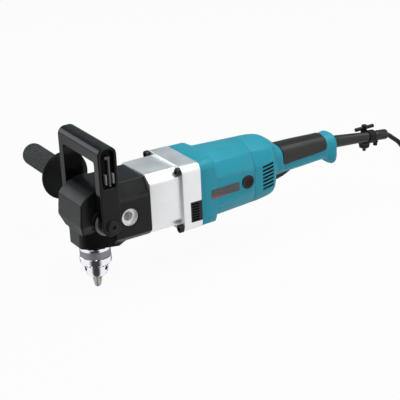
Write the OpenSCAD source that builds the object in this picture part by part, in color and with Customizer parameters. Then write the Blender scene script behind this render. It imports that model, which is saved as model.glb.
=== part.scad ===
// Right angle drill with a keyed chuck, a loop handle over the head and a long side handle.
// The spindle axis is Z with the jaw tips at the origin, and the motor axis runs along +X.

/* [Layout] */
// Height of the motor axis above the jaw tips
axis_h = 116.5; // [112:0.5:124]
// Spindle axis to the rear face of the head
head_len = 71; // [68:1:84]
// Narrow front length of the gear housing
gear_len = 50; // [48:1:64]
// Length of the square flange of the gear housing
flange_len = 31; // [29:1:42]
// Length of the motor housing
motor_len = 97; // [92:1:120]
// Straight length of the rear housing
rear_len = 38; // [34:1:52]
// Length in which the rear housing draws in to the handle
dome_len = 31; // [28:1:42]
// Length of the gripped part of the handle
handle_len = 87; // [80:1:120]
// Length of the flared end of the handle
pommel_len = 15; // [14:1:26]

/* [Head] */
// Spindle axis to the front face of the head
front_len = 36.5; // [34:0.5:44]
// Spindle axis to the front face of the barrel
barrel_len = 30.5; // [27:0.5:33]
// Half width of the barrel's front face
barrel_half = 21; // [17:0.5:23]
// Half width of the head across its sides
head_half = 46; // [44:0.5:50]
// Underside of the barrel below the motor axis
nose_drop = 45.5; // [43:0.5:48]
// Underside of the rear of the head below the motor axis
belly_drop = 40.5; // [38:0.5:42]
// Lower edge of the sloped side facets above the motor axis
facet_rise = 20.5; // [16:0.5:23]
// Joint between casting and cover above the motor axis
split_rise = 23.5; // [23.5:0.5:26]
// Flat top of the head above the motor axis
top_rise = 45.5; // [42:0.5:50]
// Half width of the flat top
top_half = 29; // [24:0.5:36]
// Radius of the bevel gear chamber
chamber_r = 29; // [28:0.5:30]
// Half width of the front of the head between the loop handle's bosses
recess_half = 34; // [33:0.5:36]
// Where the head widens behind its narrow front
recess_x = 12; // [8:0.5:16]
// Radius of the front's rounded top about the loop handle's pivot
crown_r = 45; // [43:0.5:48]
// Radius of the loop handle bosses
boss_r = 18; // [16:0.5:21]

/* [Spindle] */
// Radius of the spindle in its lower bearing
spindle_r = 8.5; // [7:0.5:9]
// Outer radius of the lower spindle bearing
lower_bearing_r = 20; // [17:0.5:24]
// Width of the lower spindle bearing
lower_bearing_w = 12; // [9:1:14]
// Radius of the spindle in its upper bearing
upper_journal_r = 6; // [5:0.5:7]
// Outer radius of the upper spindle bearing
upper_bearing_r = 16; // [14:0.5:18]
// Width of the upper spindle bearing
upper_bearing_w = 10; // [8:1:12]
// Radius of the collar above the chuck
collar_r = 12; // [11:0.5:14]
// Radius of the chuck thread on the spindle
thread_r = 8; // [6:0.5:8]

/* [Chuck] */
// Largest radius of the chuck sleeve
sleeve_r = 23; // [22:0.5:26]
// Radius of the chuck body above the sleeve
body_r = 22.4; // [21.8:0.1:22.5]
// Gap between the chuck and the head
chuck_gap = 3; // [2:0.5:5]
// Radius of the chuck nose under the sleeve
nose_r = 17; // [16:0.5:18]
// Radius at the end of the chuck nose
nose_end_r = 13.5; // [12:0.5:15]
// Radius of a jaw
jaw_r = 3.1; // [2.6:0.1:3.3]
// Lean of a jaw from the spindle axis
jaw_angle = 15; // [13:0.5:16]
// Largest drill shank that the chuck takes
shank_d = 13; // [10:0.5:13]
// Radius of a hole for the chuck key
key_hole_r = 3; // [2.5:0.25:3.5]
// Number of teeth on the sleeve
sleeve_teeth = 28; // [20:1:32]

/* [Gears] */
// Module of the spur gears
gear_module = 1.1; // [1:0.05:1.15]
// Teeth on the armature pinion
armature_teeth = 8; // [7:1:9]
// Teeth on the intermediate gear
intermediate_teeth = 32; // [30:1:33]
// Teeth on the countershaft pinion
counter_teeth = 10; // [9:1:11]
// Teeth on the bevel pinion
pinion_teeth = 10; // [9:1:11]
// Teeth on the bevel gear
bevel_teeth = 24; // [22:1:26]
// Outer cone distance of the bevel pair
cone_len = 28; // [26:0.5:28]
// Face width of the bevel pair
bevel_face = 9.5; // [7:0.5:10]
// Radius of the bevel pinion shaft in its front bearing
pinion_r = 7.5; // [6:0.5:8]
// Outer radius of the front pinion bearing
pinion_bearing_r = 17.5; // [15:0.5:18]
// Width of the front pinion bearing
pinion_bearing_w = 11; // [9:1:12]
// Outer radius of the small ball bearings
small_bearing_r = 11; // [9:0.5:11]
// Journal radius in the small ball bearings
small_journal_r = 4; // [3:0.5:4]
// Width of the small ball bearings
small_bearing_w = 7; // [6:1:7]

/* [Gear housing] */
// Half width of the front of the gear housing
gear_half = 44; // [43:0.5:46]
// Underside of the gear housing below the motor axis
gear_drop = 41; // [38:0.5:42]
// Wall of the gear housing
gear_wall = 4; // [3:0.25:5]
// Half width of the square flange
flange_half = 50.5; // [49.5:0.5:54]
// Corner radius of the square flange
flange_r = 11; // [8:0.5:14]
// Half spacing of the housing screws
screw_half = 44; // [43:0.5:45]
// Shank radius of the housing screws
screw_r = 2.5; // [2:0.25:3]
// Head radius of the housing screws
screw_head_r = 4.25; // [3.75:0.25:5]
// Head height of the housing screws
screw_head_h = 6; // [4:0.5:8]
// Radius of the fan chamber
fan_chamber_r = 43; // [40:0.5:45]
// Length of a vent grille
grille_len = 19; // [15:1:19]
// Height of a vent grille
grille_h = 31; // [24:1:36]

/* [Motor] */
// Half width of the rear of the motor housing
motor_rear_half = 44.5; // [44:0.5:47]
// Radius of the upper corners of the motor housing
motor_top_r = 30; // [24:0.5:32]
// Radius of the lower corners of the motor housing
motor_low_r = 22; // [16:0.5:24]
// Length of the collar that meets the flange
motor_collar_len = 26; // [18:1:28]
// Outer radius of the field core
field_r = 38.5; // [36:0.5:38.5]
// Length of the field core
field_len = 46; // [36:1:50]
// Radius of the armature core
armature_r = 22.8; // [20:0.2:22.8]
// Radius of the armature shaft
shaft_r = 6; // [5:0.5:6.5]
// Outer radius of the front armature bearing
armature_bearing_r = 16; // [14:0.5:18]
// Width of the front armature bearing
armature_bearing_w = 10; // [8:1:10]
// Radius of the commutator
commutator_r = 14; // [12:0.5:16]
// Radius of the cooling fan
fan_r = 36; // [30:1:40]
// Number of fan blades
fan_blades = 9; // [7:1:13]
// Outer radius of a brush holder
brush_holder_r = 9; // [8.5:0.25:9.5]
// Radius of a brush cap
brush_cap_r = 10.5; // [10:0.25:12]

/* [Rear housing and handle] */
// Half width of the handle
handle_half = 20.5; // [19:0.5:24]
// Top of the handle above the motor axis
handle_rise = 25; // [23:0.5:28]
// Underside of the handle below the motor axis
handle_drop = 18.5; // [18:0.5:22]
// Underside of the flared end below the motor axis
pommel_drop = 26.5; // [23:0.5:32]
// Thickness of the rubber grip on the handle
grip_t = 1.6; // [1:0.1:2.5]
// Half width of the trigger
trigger_half = 6.5; // [5:0.5:8]
// How far the trigger stands out below the handle
trigger_out = 10.5; // [8:0.5:13]
// Length of the trigger
trigger_len = 30; // [26:1:34]
// Radius of the trigger pin
trigger_pin_r = 1.5; // [1:0.25:1.75]
// Length of the switch
switch_len = 48; // [40:1:50]

/* [Cord and guard] */
// Length of the cord guard outside the handle
guard_len = 114.6; // [100:0.1:130]
// Droop of the cord guard in degrees
guard_droop = 6.2; // [4:0.1:8]
// Radius of the cord guard at the handle
guard_root_r = 10; // [9:0.25:11]
// Radius of the cord guard near its tip
guard_tip_r = 7.2; // [6.5:0.1:8]
// Diameter of the cord
cord_d = 7.5; // [6:0.1:7.6]
// Turns in the coil of cord
coil_turns = 8.5; // [6.5:1:10.5]
// Outer turn radius of the coil
coil_r = 49; // [46:1:56]

/* [Loop handle] */
// Height of the loop handle's pivot below the motor axis
pivot_drop = 3; // [0:0.5:4]
// Pivot to the top of the loop handle
loop_reach = 116.5; // [110:0.5:118]
// Half width of the loop handle inside its legs
loop_inner_half = 46.3; // [46.2:0.1:50]
// Thickness of a leg
leg_t = 14; // [11:0.5:16]
// Width of a leg and of the crossbar
leg_w = 29; // [24:0.5:32]
// Depth of the crossbar
bar_h = 22.5; // [20:0.5:28]
// Radius of the pivot bolts
pivot_r = 5; // [4:0.5:6]

/* [Side handle] */
// Spindle axis to the axis of the side handle
side_x = 35.5; // [34.5:0.5:36.5]
// Radius of the threaded side handle hole
side_thread_r = 7; // [6:0.5:8]
// Outer radius of the side handle bushes
bush_r = 14; // [12:0.5:14]
// Radius of the side handle rod
rod_r = 9; // [8:0.5:10]
// Distance of the guard disc from the spindle plane
disc_y = 156; // [120:1:170]
// Radius of the guard disc
disc_r = 38.5; // [30:0.5:42]
// Radius of the side grip
side_grip_r = 18; // [15:0.5:19]
// Length of the side grip beyond its disc
side_grip_len = 117; // [100:1:130]

/* [Hidden] */
$fn = 48;

// Clearances: seats, running shafts, faces that slide past each other
seat_gap = 0.05;
run_gap = 0.06;
slide_gap = 0.3;
// A cut runs this far past the face that it opens
past = 1;

// Stations along the motor axis
flange_x = head_len + gear_len;
motor_x = flange_x + flange_len;
seam_x = motor_x + motor_len;
dome_x = seam_x + rear_len;
grip_x = dome_x + dome_len;
pommel_x = grip_x + handle_len;
end_x = pommel_x + pommel_len;
// The rear wall of the gear chamber, with the front armature bearing behind it
gear_wall_x = flange_x - small_bearing_w;
armature_seat_x = flange_x + 1;
fan_chamber_x = armature_seat_x + armature_bearing_w;

// Heights in the head
nose_z = axis_h - nose_drop;
belly_z = axis_h - belly_drop;
split_z = axis_h + split_rise;
top_z = axis_h + top_rise;
lip_z = axis_h - 5;
barrel_top = axis_h - 21.5;
chamber_z = axis_h - 15;
facet_z = axis_h + facet_rise;
pivot_z = axis_h - pivot_drop;
seal_h = 7;
lower_bearing_z = nose_z + seal_h + 2;
upper_bearing_z = split_z + 0.6;

// Bevel pair: both pitch cones have their apex where the two axes cross
bevel_angle = atan(pinion_teeth / bevel_teeth);
cone_in = cone_len - bevel_face;
bevel_tip = 1.4;
bevel_root = 2;
bevel_tooth_w = 1.5;

// Spur train: the final gear is coaxial with the armature, so both stages share one centre distance
centre_d = (armature_teeth + intermediate_teeth) * gear_module / 2;
final_teeth = armature_teeth + intermediate_teeth - counter_teeth;
counter_angle = 30;
counter_y = centre_d * cos(counter_angle);
counter_z = axis_h + centre_d * sin(counter_angle);
gear_w = 10;
final_x = head_len + 5;
plate_x = final_x + gear_w + 5;
plate_t = small_bearing_w + 2;
intermediate_w = 8;
intermediate_x = gear_wall_x - 3 - intermediate_w;

// Motor stations
field_x = motor_x + 8;
brush_x = seam_x - 14;
brush_face = motor_rear_half + 1.5;
cap_h = 1.6;
bracket_w = small_bearing_w + 1;

// Chuck: one jaw points at the viewer's side of the drill
chuck_turn = 119;
chuck_top = nose_z - chuck_gap;
sleeve_top = 0.728 * chuck_top;
sleeve_low = 0.5294 * chuck_top;
jaw_out = 0.272 * chuck_top;
jaw_top = 0.6176 * chuck_top;
key_hole_z = 0.4515 * chuck_top;
nut_low = 0.5735 * chuck_top;
nut_h = 4.5;
jaw_axis_r = 1.5;
jaw_gap = 0.3;
jaw_bore_r = jaw_r + 0.1;
jaw_travel = (shank_d / 2 - 0.75) / sin(jaw_angle);
nut_hole_r = jaw_axis_r + (nut_low + nut_h) * tan(jaw_angle) + jaw_r / cos(jaw_angle) + slide_gap;
nut_groove_r = nut_hole_r - 1.6;
nut_r = body_r - 3.2;
sleeve_bore_r = body_r - 0.6;
socket_low = 0.647 * chuck_top;

// Loop handle and side handle
loop_outer_half = loop_inner_half + leg_t;
loop_top_z = pivot_z + loop_reach;
bar_z = loop_top_z - bar_h;
side_z = pivot_z;
bush_len = 22;
thread_len = 19;

// Motor and handle sections: x, half width, underside, top, upper and lower corner radius
handle_low = axis_h - handle_drop;
handle_high = axis_h + handle_rise;
motor_taper = (flange_half - motor_rear_half) / motor_len;
collar_half = flange_half - motor_taper * motor_collar_len;
rear_low = axis_h - motor_rear_half + 1.5;
rear_high = axis_h + motor_rear_half + 4;
motor_stations = [
  [motor_x + motor_collar_len - 2, collar_half, rear_low - 2.5, rear_high + 1.5, motor_top_r, motor_low_r],
  [seam_x, motor_rear_half, rear_low, rear_high, motor_top_r + 2, motor_low_r]
];
collar_stations = [
  [motor_x, flange_half, axis_h - flange_half, axis_h + flange_half, flange_r, flange_r],
  [motor_x + motor_collar_len, collar_half, axis_h - flange_half, axis_h + flange_half, flange_r, flange_r]
];
rear_stations = [
  [seam_x, motor_rear_half, rear_low, rear_high, motor_top_r + 2, motor_low_r],
  [dome_x, motor_rear_half - 3.5, rear_low + 3.5, rear_high - 3, motor_top_r, motor_low_r],
  [dome_x + 0.15 * dome_len, motor_rear_half - 7.5, rear_low + 7, rear_high - 4.2, 29, 21],
  [dome_x + 0.28 * dome_len, motor_rear_half - 13.5, rear_low + 12.5, rear_high - 6, 26, 18],
  [dome_x + 0.42 * dome_len, handle_half + 5, rear_low + 18.5, rear_high - 8.5, 22, 16],
  [dome_x + 0.57 * dome_len, handle_half + 2.5, handle_low - 2, rear_high - 12, 19, 15],
  [dome_x + 0.76 * dome_len, handle_half + 2.2, handle_low - 1, rear_high - 18, 17, 15],
  [dome_x + 0.88 * dome_len, handle_half + 2.2, handle_low - 1, handle_high + 1.5, 16, 15],
  [grip_x, handle_half + 0.8, handle_low - 0.8, handle_high + 0.8, 15, 15],
  [grip_x + 0.4 * handle_len, handle_half, handle_low, handle_high, 15, 15],
  [pommel_x, handle_half - 1, handle_low + 2, handle_high - 2, 15, 15],
  [pommel_x + 0.3 * pommel_len, handle_half + 1, handle_low - 5, handle_high - 1.2, 14, 14],
  [pommel_x + 0.65 * pommel_len, handle_half + 1.5, axis_h - pommel_drop, handle_high - 1.2, 13, 13],
  [end_x, handle_half - 1, axis_h - pommel_drop + 3, handle_high - 5, 11, 11]
];

// Trigger: a lever on a pin at its rear end
trigger_x = grip_x - 6;
trigger_pin_x = trigger_x + trigger_len;
trigger_pin_z = handle_low + 5;
switch_low = trigger_pin_z + 4;
switch_h = 24;

// Cord guard axis, from the end of the handle to its tip
guard_z = axis_h + 4.9;
guard_tip = [end_x + guard_len * cos(guard_droop), 0, guard_z - guard_len * sin(guard_droop)];
cord_r = cord_d / 2;
guard_bore_r = cord_r + 0.15;
guard_foot = 12;
lead_back = 34;
lead_stop = 12;

// Chuck key on the far side of the guard
holder_at = guard_len - 32.6;
key_x = end_x + holder_at;
key_y = 15;
key_r = 3.2;
key_mid = guard_z - holder_at * sin(guard_droop);
key_low = key_mid - 29;
key_high = key_mid + 10;

// Cord: from the guard down to the surface, then a tail from the coil to the plug
coil_lift = 1.3;
coil_step = cord_d + 0.6;
coil_centre = [660, -49];
coil_z = coil_lift + cord_r;
tail_y = coil_centre[1] - coil_r;
cord_route = [
  [543, 0, 106.5], [552, 0, 101], [560, 0, 93], [567, 0, 84], [573, 0, 74], [579, 0, 62.5], [585, 0, 51],
  [591.5, 0, 39.5], [599, 0, 28.5], [608, 0, 19], [619, 0, 11.5], [631, 0, 6.6], [643, 0, 5.05]
];
tail_route = [
  [645, -98, 29.35], [635, -99.5, 28.6], [625, -101.5, 26.5], [615, -104, 23], [605, -106, 19],
  [595, -107.3, 15.7], [587, -108, 13.6], [581, -108, 13]
];
plug_at = [576, -108, 13];
plug_len = 44;
plug_r = 13;
pin_len = 19;

// Basic solids placed along the axes
module rod_x(x0, x1, r, y = 0, z = axis_h) {
  translate([x0, y, z]) rotate([0, 90, 0]) cylinder(h = x1 - x0, r = r);
}
module rod_y(y0, y1, r, x, z) {
  translate([x, y0, z]) rotate([-90, 0, 0]) cylinder(h = y1 - y0, r = r);
}
module rod_z(z0, z1, r, x = 0, y = 0) {
  translate([x, y, z0]) cylinder(h = z1 - z0, r = r);
}
module ring_x(x0, x1, r, hole, y = 0, z = axis_h) {
  difference() {
    rod_x(x0, x1, r, y, z);
    rod_x(x0 - past, x1 + past, hole, y, z);
  }
}
module ring_z(z0, z1, r, hole) {
  difference() {
    rod_z(z0, z1, r);
    rod_z(z0 - past, z1 + past, hole);
  }
}
// A flat outline in Y and Z drawn out along X, and one in X and Z drawn out along Y
module prism_x(x0, x1) {
  translate([x0, 0, 0]) rotate([90, 0, 90]) linear_extrude(x1 - x0) children();
}
module prism_y(y0, y1) {
  translate([0, y1, 0]) rotate([90, 0, 0]) linear_extrude(y1 - y0) children();
}
module both_sides() {
  children();
  mirror([0, 1, 0]) children();
}
module rounded(half, low, high, r) {
  translate([-half, low + r]) square([2 * half, high - low - 2 * r]);
  translate([r - half, low]) square([2 * (half - r), high - low]);
  for (s = [-1, 1], h = [low + r, high - r]) translate([s * (half - r), h]) circle(r);
}
module hexagon(across) {
  circle(r = across / 2 / cos(30), $fn = 6);
}

// A skin through rounded sections: x, half width, underside, top, upper and lower corner radius
corner_steps = 5;
function corner(s, c, a) =
  let (r = c < 2 ? s[4] : s[5], y = c == 0 || c == 3 ? s[1] - r : r - s[1], z = c < 2 ? s[3] - r : s[2] + r)
  [s[0], y + r * cos(a), z + r * sin(a)];
function section(s) = [
  for (c = [0:3]) for (i = [0:corner_steps]) corner(s, c, 90 * c + 90 * i / corner_steps)
];
function grown(stations, g) = [
  for (s = stations) [s[0], s[1] + g, s[2] - g, s[3] + g, s[4] + g, s[5] + g]
];
module skin(stations) {
  n = 4 * (corner_steps + 1);
  last = len(stations) - 1;
  polyhedron(
    points = [for (s = stations) each section(s)],
    faces = concat(
      [for (k = [0:last - 1], i = [0:n - 1]) [k * n + i, (k + 1) * n + i, (k + 1) * n + (i + 1) % n]],
      [for (k = [0:last - 1], i = [0:n - 1]) [k * n + i, (k + 1) * n + (i + 1) % n, k * n + (i + 1) % n]],
      [for (i = [1:n - 2]) [0, i, i + 1]],
      [for (i = [1:n - 2]) [last * n, last * n + i + 1, last * n + i]]
    ),
    convexity = 6
  );
}

// A round tube through points, with a flat ring square to the path at each point
function unit(v) = v / norm(v);
function heading(path, i) = unit(path[min(i + 1, len(path) - 1)] - path[max(i - 1, 0)]);
function tube_ring(path, i, r, sides) =
  let (t = heading(path, i), side = unit(cross(t, [0, 0, 1])), up = cross(side, t))
  [for (k = [0:sides - 1]) path[i] + r * (cos(360 * k / sides) * side + sin(360 * k / sides) * up)];
module tube(path, r, sides) {
  last = len(path) - 1;
  polyhedron(
    points = [for (i = [0:last]) each tube_ring(path, i, r, sides)],
    faces = concat(
      [for (i = [0:last - 1], k = [0:sides - 1])
        [i * sides + k, (i + 1) * sides + (k + 1) % sides, (i + 1) * sides + k]],
      [for (i = [0:last - 1], k = [0:sides - 1])
        [i * sides + k, i * sides + (k + 1) % sides, (i + 1) * sides + (k + 1) % sides]],
      [for (k = [1:sides - 2]) [0, k + 1, k]],
      [for (k = [1:sides - 2]) [last * sides, last * sides + k, last * sides + k + 1]]
    ),
    convexity = 10
  );
}

// Head: a narrow front with a rounded top, a barrel under it and a wider rear
function flank(side) = [
  [-barrel_len, side * (barrel_half - 6)], [2 - barrel_len, side * (barrel_half - 2)],
  [5.5 - barrel_len, side * (barrel_half + 1.5)], [-20, side * 25.8], [-11, side * 29.5], [6, side * 35.5],
  [20, side * 39.5], [side_x - bush_r, side * 38]
];
module head_plan() {
  near = flank(-1);
  far = flank(1);
  polygon(concat(near, [for (i = [1:len(far)]) far[len(far) - i]]));
}
module head_section() {
  polygon([
    [-head_half, belly_z + 8], [8 - head_half, belly_z], [head_half - 8, belly_z], [head_half, belly_z + 8],
    [head_half, facet_z], [top_half, top_z], [-top_half, top_z], [-head_half, facet_z]
  ]);
}
// The front's outline in X and Z: a sloped lip, an upright face and an arc that opens out to the flat top
module front_profile() {
  start = 138;
  polygon(concat(
    [[recess_x + past, barrel_top], [-barrel_len, barrel_top], [-front_len, lip_z]],
    [for (a = [start:-4:90]) let (r = crown_r + (top_z - pivot_z - crown_r) * (start - a) / (start - 90))
      [r * cos(a), pivot_z + r * sin(a)]],
    [[recess_x + past, top_z]]
  ));
}
module front_section() {
  low_half = recess_half + 2;
  polygon([
    [-low_half + 9, barrel_top], [low_half - 9, barrel_top], [low_half, lip_z], [recess_half, top_z - 2],
    [recess_half - 2, top_z + past], [2 - recess_half, top_z + past], [-recess_half, top_z - 2],
    [-low_half, lip_z]
  ]);
}
module head_body() {
  corner_x = side_x - bush_r;
  intersection() {
    prism_y(-head_half, head_half) front_profile();
    prism_x(-front_len - past, recess_x + past) front_section();
  }
  prism_x(recess_x, head_len) head_section();
  translate([0, 0, nose_z]) linear_extrude(chamber_z - 2 - nose_z) head_plan();
  prism_y(8 - head_half, head_half - 8) {
    polygon([
      [corner_x - 1, nose_z], [corner_x, nose_z], [corner_x + 11, belly_z], [corner_x + 11, belly_z + 1],
      [corner_x - 1, belly_z + 1]
    ]);
  }
  both_sides() rod_y(recess_half - past, head_half, boss_r, 0, pivot_z);
}
head_screw_places = [[-37, axis_h - 28.5], [37, axis_h - 28.5], [-26, axis_h + 36.5], [26, axis_h + 36.5]];
head_screw_boss = 11;
head_screw_deep = 16;
module head_screw_holes() {
  for (p = head_screw_places) {
    rod_x(head_len - head_screw_deep, head_len + head_screw_boss + past, screw_r + seat_gap, p[0], p[1]);
    rod_x(head_len + head_screw_boss, plate_x, screw_head_r + slide_gap, p[0], p[1]);
  }
}
module head_casting() {
  color([0.13, 0.13, 0.14]) difference() {
    intersection() {
      head_body();
      translate([-front_len - past, -loop_outer_half, 0]) {
        cube([2 * front_len + head_len, 2 * loop_outer_half, split_z]);
      }
    }
    rod_z(chamber_z, split_z + past, chamber_r);
    rod_z(lower_bearing_z, axis_h, lower_bearing_r + seat_gap);
    rod_z(nose_z - past, lower_bearing_z + past, collar_r + 1);
    rod_z(nose_z - past, nose_z + seal_h, collar_r + 4 + seat_gap);
    rod_x(0, chamber_r + pinion_bearing_w, pinion_bearing_r + seat_gap);
    rod_x(0, head_len + past, pinion_r + 2);
    rod_x(head_len - small_bearing_w, head_len + past, small_bearing_r + seat_gap, counter_y, counter_z);
    both_sides() rod_y(head_half - bush_len, head_half + past, bush_r + seat_gap, side_x, side_z);
    both_sides() rod_y(recess_half - 2, head_half + past, pivot_r + seat_gap, 0, pivot_z);
    head_screw_holes();
  }
}
module head_cover() {
  color([0.15, 0.15, 0.16]) difference() {
    intersection() {
      head_body();
      translate([-front_len - past, -loop_outer_half, split_z]) {
        cube([2 * front_len + head_len, 2 * loop_outer_half, top_z]);
      }
    }
    rod_z(split_z - past, upper_bearing_z + upper_bearing_w, upper_bearing_r + seat_gap);
    head_screw_holes();
  }
}
module cap_screw_x(x, len, y, z) {
  difference() {
    union() {
      rod_x(x, x + screw_head_h, screw_head_r, y, z);
      rod_x(x - len, x + screw_head_h, screw_r, y, z);
    }
    prism_x(x + screw_head_h - 3, x + screw_head_h + past) translate([y, z]) hexagon(4);
  }
}
module head_screws() {
  color([0.2, 0.2, 0.2]) for (p = head_screw_places) {
    cap_screw_x(head_len + head_screw_boss, head_screw_boss + head_screw_deep - 1, p[0], p[1]);
  }
}
module side_handle_bushes() {
  color([0.8, 0.81, 0.83]) both_sides() {
    difference() {
      rod_y(head_half - bush_len, head_half, bush_r, side_x, side_z);
      rod_y(head_half - thread_len, head_half + past, side_thread_r, side_x, side_z);
      translate([side_x, head_half - 5, side_z]) rotate([-90, 0, 0]) {
        cylinder(h = 5 + past, r1 = bush_r - 3.5, r2 = bush_r - 1.2);
      }
    }
  }
}

// Spindle and its bearings
module spindle_bearings() {
  color([0.7, 0.71, 0.73]) {
    ring_z(lower_bearing_z, lower_bearing_z + lower_bearing_w, lower_bearing_r, spindle_r + run_gap);
    ring_z(upper_bearing_z, upper_bearing_z + upper_bearing_w, upper_bearing_r, upper_journal_r + run_gap);
  }
}
module spindle_seal() {
  color([0.1, 0.1, 0.1]) ring_z(nose_z + 0.5, nose_z + seal_h, collar_r + 4, collar_r + run_gap);
}
gear_seat_z = axis_h + cone_in * sin(bevel_angle) + bevel_root * cos(bevel_angle) - 1;
gear_hub_z = split_z - 1.5;
module spindle() {
  color([0.72, 0.73, 0.75]) rotate_extrude() {
    polygon([
      [0, socket_low + 1], [thread_r - seat_gap, socket_low + 1], [thread_r - seat_gap, chuck_top],
      [collar_r, chuck_top], [collar_r, lower_bearing_z - slide_gap],
      [spindle_r, lower_bearing_z - slide_gap],
      [spindle_r, lower_bearing_z + lower_bearing_w + slide_gap],
      [spindle_r + 1, lower_bearing_z + lower_bearing_w + slide_gap], [spindle_r + 1, gear_hub_z],
      [upper_journal_r + 1, gear_hub_z], [upper_journal_r + 1, upper_bearing_z - slide_gap],
      [upper_journal_r, upper_bearing_z - slide_gap],
      [upper_journal_r, upper_bearing_z + upper_bearing_w - slide_gap],
      [0, upper_bearing_z + upper_bearing_w - slide_gap]
    ]);
  }
}
// A straight tooth along the pitch cone, from one depth to another across the cone surface
module bevel_tooth(low, high) {
  rotate([0, -bevel_angle, 0]) translate([cone_in, -bevel_tooth_w / 2, low]) {
    cube([bevel_face - 0.5, bevel_tooth_w, high - low]);
  }
}
function cone_point(l, off) = [
  l * cos(bevel_angle) - off * sin(bevel_angle), l * sin(bevel_angle) + off * cos(bevel_angle)
];
module bevel_gear() {
  a = cone_point(cone_in - 0.5, bevel_root);
  b = cone_point(cone_len, bevel_root);
  hub = gear_hub_z - axis_h;
  color([0.6, 0.6, 0.62]) translate([0, 0, axis_h]) {
    difference() {
      union() {
        rotate_extrude() polygon([[0, a[1]], a, b, [b[0], b[1] + 3.5], [14, b[1] + 5], [14, hub], [0, hub]]);
        for (k = [0:bevel_teeth - 1]) {
          rotate([0, 0, 360 * k / bevel_teeth]) bevel_tooth(-bevel_tip, bevel_root + 1);
        }
      }
      rod_z(0, hub + past, spindle_r + 1 + seat_gap);
    }
  }
}
module chuck_body() {
  color([0.62, 0.63, 0.66]) difference() {
    rotate_extrude() {
      polygon([
        [0, jaw_out], [nose_end_r - 1, jaw_out], [nose_end_r, jaw_out + 1], [nose_r - 0.5, jaw_out + 9],
        [nose_r, sleeve_low], [nose_r, nut_low - 0.3], [nut_groove_r, nut_low - 0.3],
        [nut_groove_r, nut_low + nut_h + 0.3], [sleeve_bore_r - run_gap, nut_low + nut_h + 0.3],
        [sleeve_bore_r - run_gap, sleeve_top + slide_gap], [body_r, sleeve_top + slide_gap],
        [body_r, chuck_top - 3], [body_r - 3, chuck_top], [0, chuck_top]
      ]);
    }
    rod_z(jaw_out - past, nut_low, 4);
    rod_z(socket_low, chuck_top + past, thread_r);
    for (k = [0:2]) {
      jaw_place(k) translate([0, 0, -past]) {
        cylinder(h = jaw_top / cos(jaw_angle) + jaw_travel + past + 0.5, r = jaw_bore_r);
      }
      rotate([0, 0, chuck_turn + 60 + 120 * k]) rod_x(nose_r - 7, nose_r + past, key_hole_r, 0, key_hole_z);
    }
  }
}
module chuck_sleeve() {
  color([0.78, 0.79, 0.82]) difference() {
    rotate_extrude() {
      polygon([
        [nose_r + run_gap, sleeve_low], [nose_r + 2, sleeve_low], [sleeve_r, sleeve_low + 4.5],
        [sleeve_r, sleeve_top - 1], [sleeve_r - 1, sleeve_top], [sleeve_bore_r, sleeve_top],
        [sleeve_bore_r, nut_low + nut_h], [nut_r, nut_low + nut_h], [nut_r, nut_low],
        [nose_r + run_gap, nut_low]
      ]);
    }
    for (k = [0:sleeve_teeth - 1]) {
      rotate([0, 0, 360 * k / sleeve_teeth]) translate([nose_r + 1.5, -0.9, sleeve_low - past]) {
        cube([sleeve_r - nose_r, 1.8, past + 2.6]);
      }
    }
  }
}
module chuck_nut() {
  color([0.55, 0.55, 0.58]) ring_z(nut_low, nut_low + nut_h, nut_r, nut_hole_r);
}
module jaw_place(k) {
  rotate([0, 0, chuck_turn + 120 * k]) translate([jaw_axis_r, 0, 0]) rotate([0, jaw_angle, 0]) children();
}
module jaw(k) {
  color([0.5, 0.46, 0.42]) intersection() {
    jaw_place(k) translate([0, 0, -2 * jaw_r]) cylinder(h = 2 * jaw_r + jaw_top / cos(jaw_angle), r = jaw_r);
    rotate([0, 0, chuck_turn + 120 * k]) linear_extrude(chuck_top) {
      polygon([[jaw_gap, 0], [jaw_gap + 30, -30 * tan(60)], [jaw_gap + 30, 30 * tan(60)]]);
    }
  }
}

// Gear train
module gear_outline(teeth, turn) {
  pitch = teeth * gear_module / 2;
  root = pitch - 1.25 * gear_module;
  tip = pitch + 0.8 * gear_module;
  circle(root);
  for (k = [0:teeth - 1]) {
    rotate(turn + 360 * k / teeth) {
      polygon([
        [root - 0.4, -0.68 * gear_module], [tip, -0.35 * gear_module], [tip, 0.35 * gear_module],
        [root - 0.4, 0.68 * gear_module]
      ]);
    }
  }
}
module spur_gear(x, w, teeth, turn, y, z, hole) {
  difference() {
    prism_x(x, x + w) translate([y, z]) gear_outline(teeth, turn);
    rod_x(x - past, x + w + past, hole, y, z);
  }
}
pinion_back_x = cone_len * cos(bevel_angle) + bevel_root * sin(bevel_angle);
gear_seat_r = 6;
module bevel_pinion_shaft() {
  a = cone_point(cone_in - 0.5, -bevel_root);
  b = cone_point(cone_len, -bevel_root);
  color([0.62, 0.62, 0.64]) {
    translate([0, 0, axis_h]) rotate([0, 90, 0]) rotate_extrude() {
      polygon([
        [0, a[0]], [a[1], a[0]], [b[1], b[0]], [b[1], chamber_r - slide_gap],
        [pinion_r, chamber_r - slide_gap], [pinion_r, final_x - 1], [gear_seat_r, final_x - 1],
        [gear_seat_r, plate_x - slide_gap],
        [small_journal_r, plate_x - slide_gap], [small_journal_r, plate_x + small_bearing_w - slide_gap],
        [0, plate_x + small_bearing_w - slide_gap]
      ]);
    }
    translate([0, 0, axis_h]) for (k = [0:pinion_teeth - 1]) {
      rotate([360 * (k + 0.5) / pinion_teeth, 0, 0]) bevel_tooth(-bevel_root - 1, bevel_tip);
    }
  }
}
module final_gear() {
  color([0.58, 0.58, 0.6]) {
    spur_gear(final_x, gear_w, final_teeth, counter_angle, 0, axis_h, gear_seat_r + seat_gap);
  }
}
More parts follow.
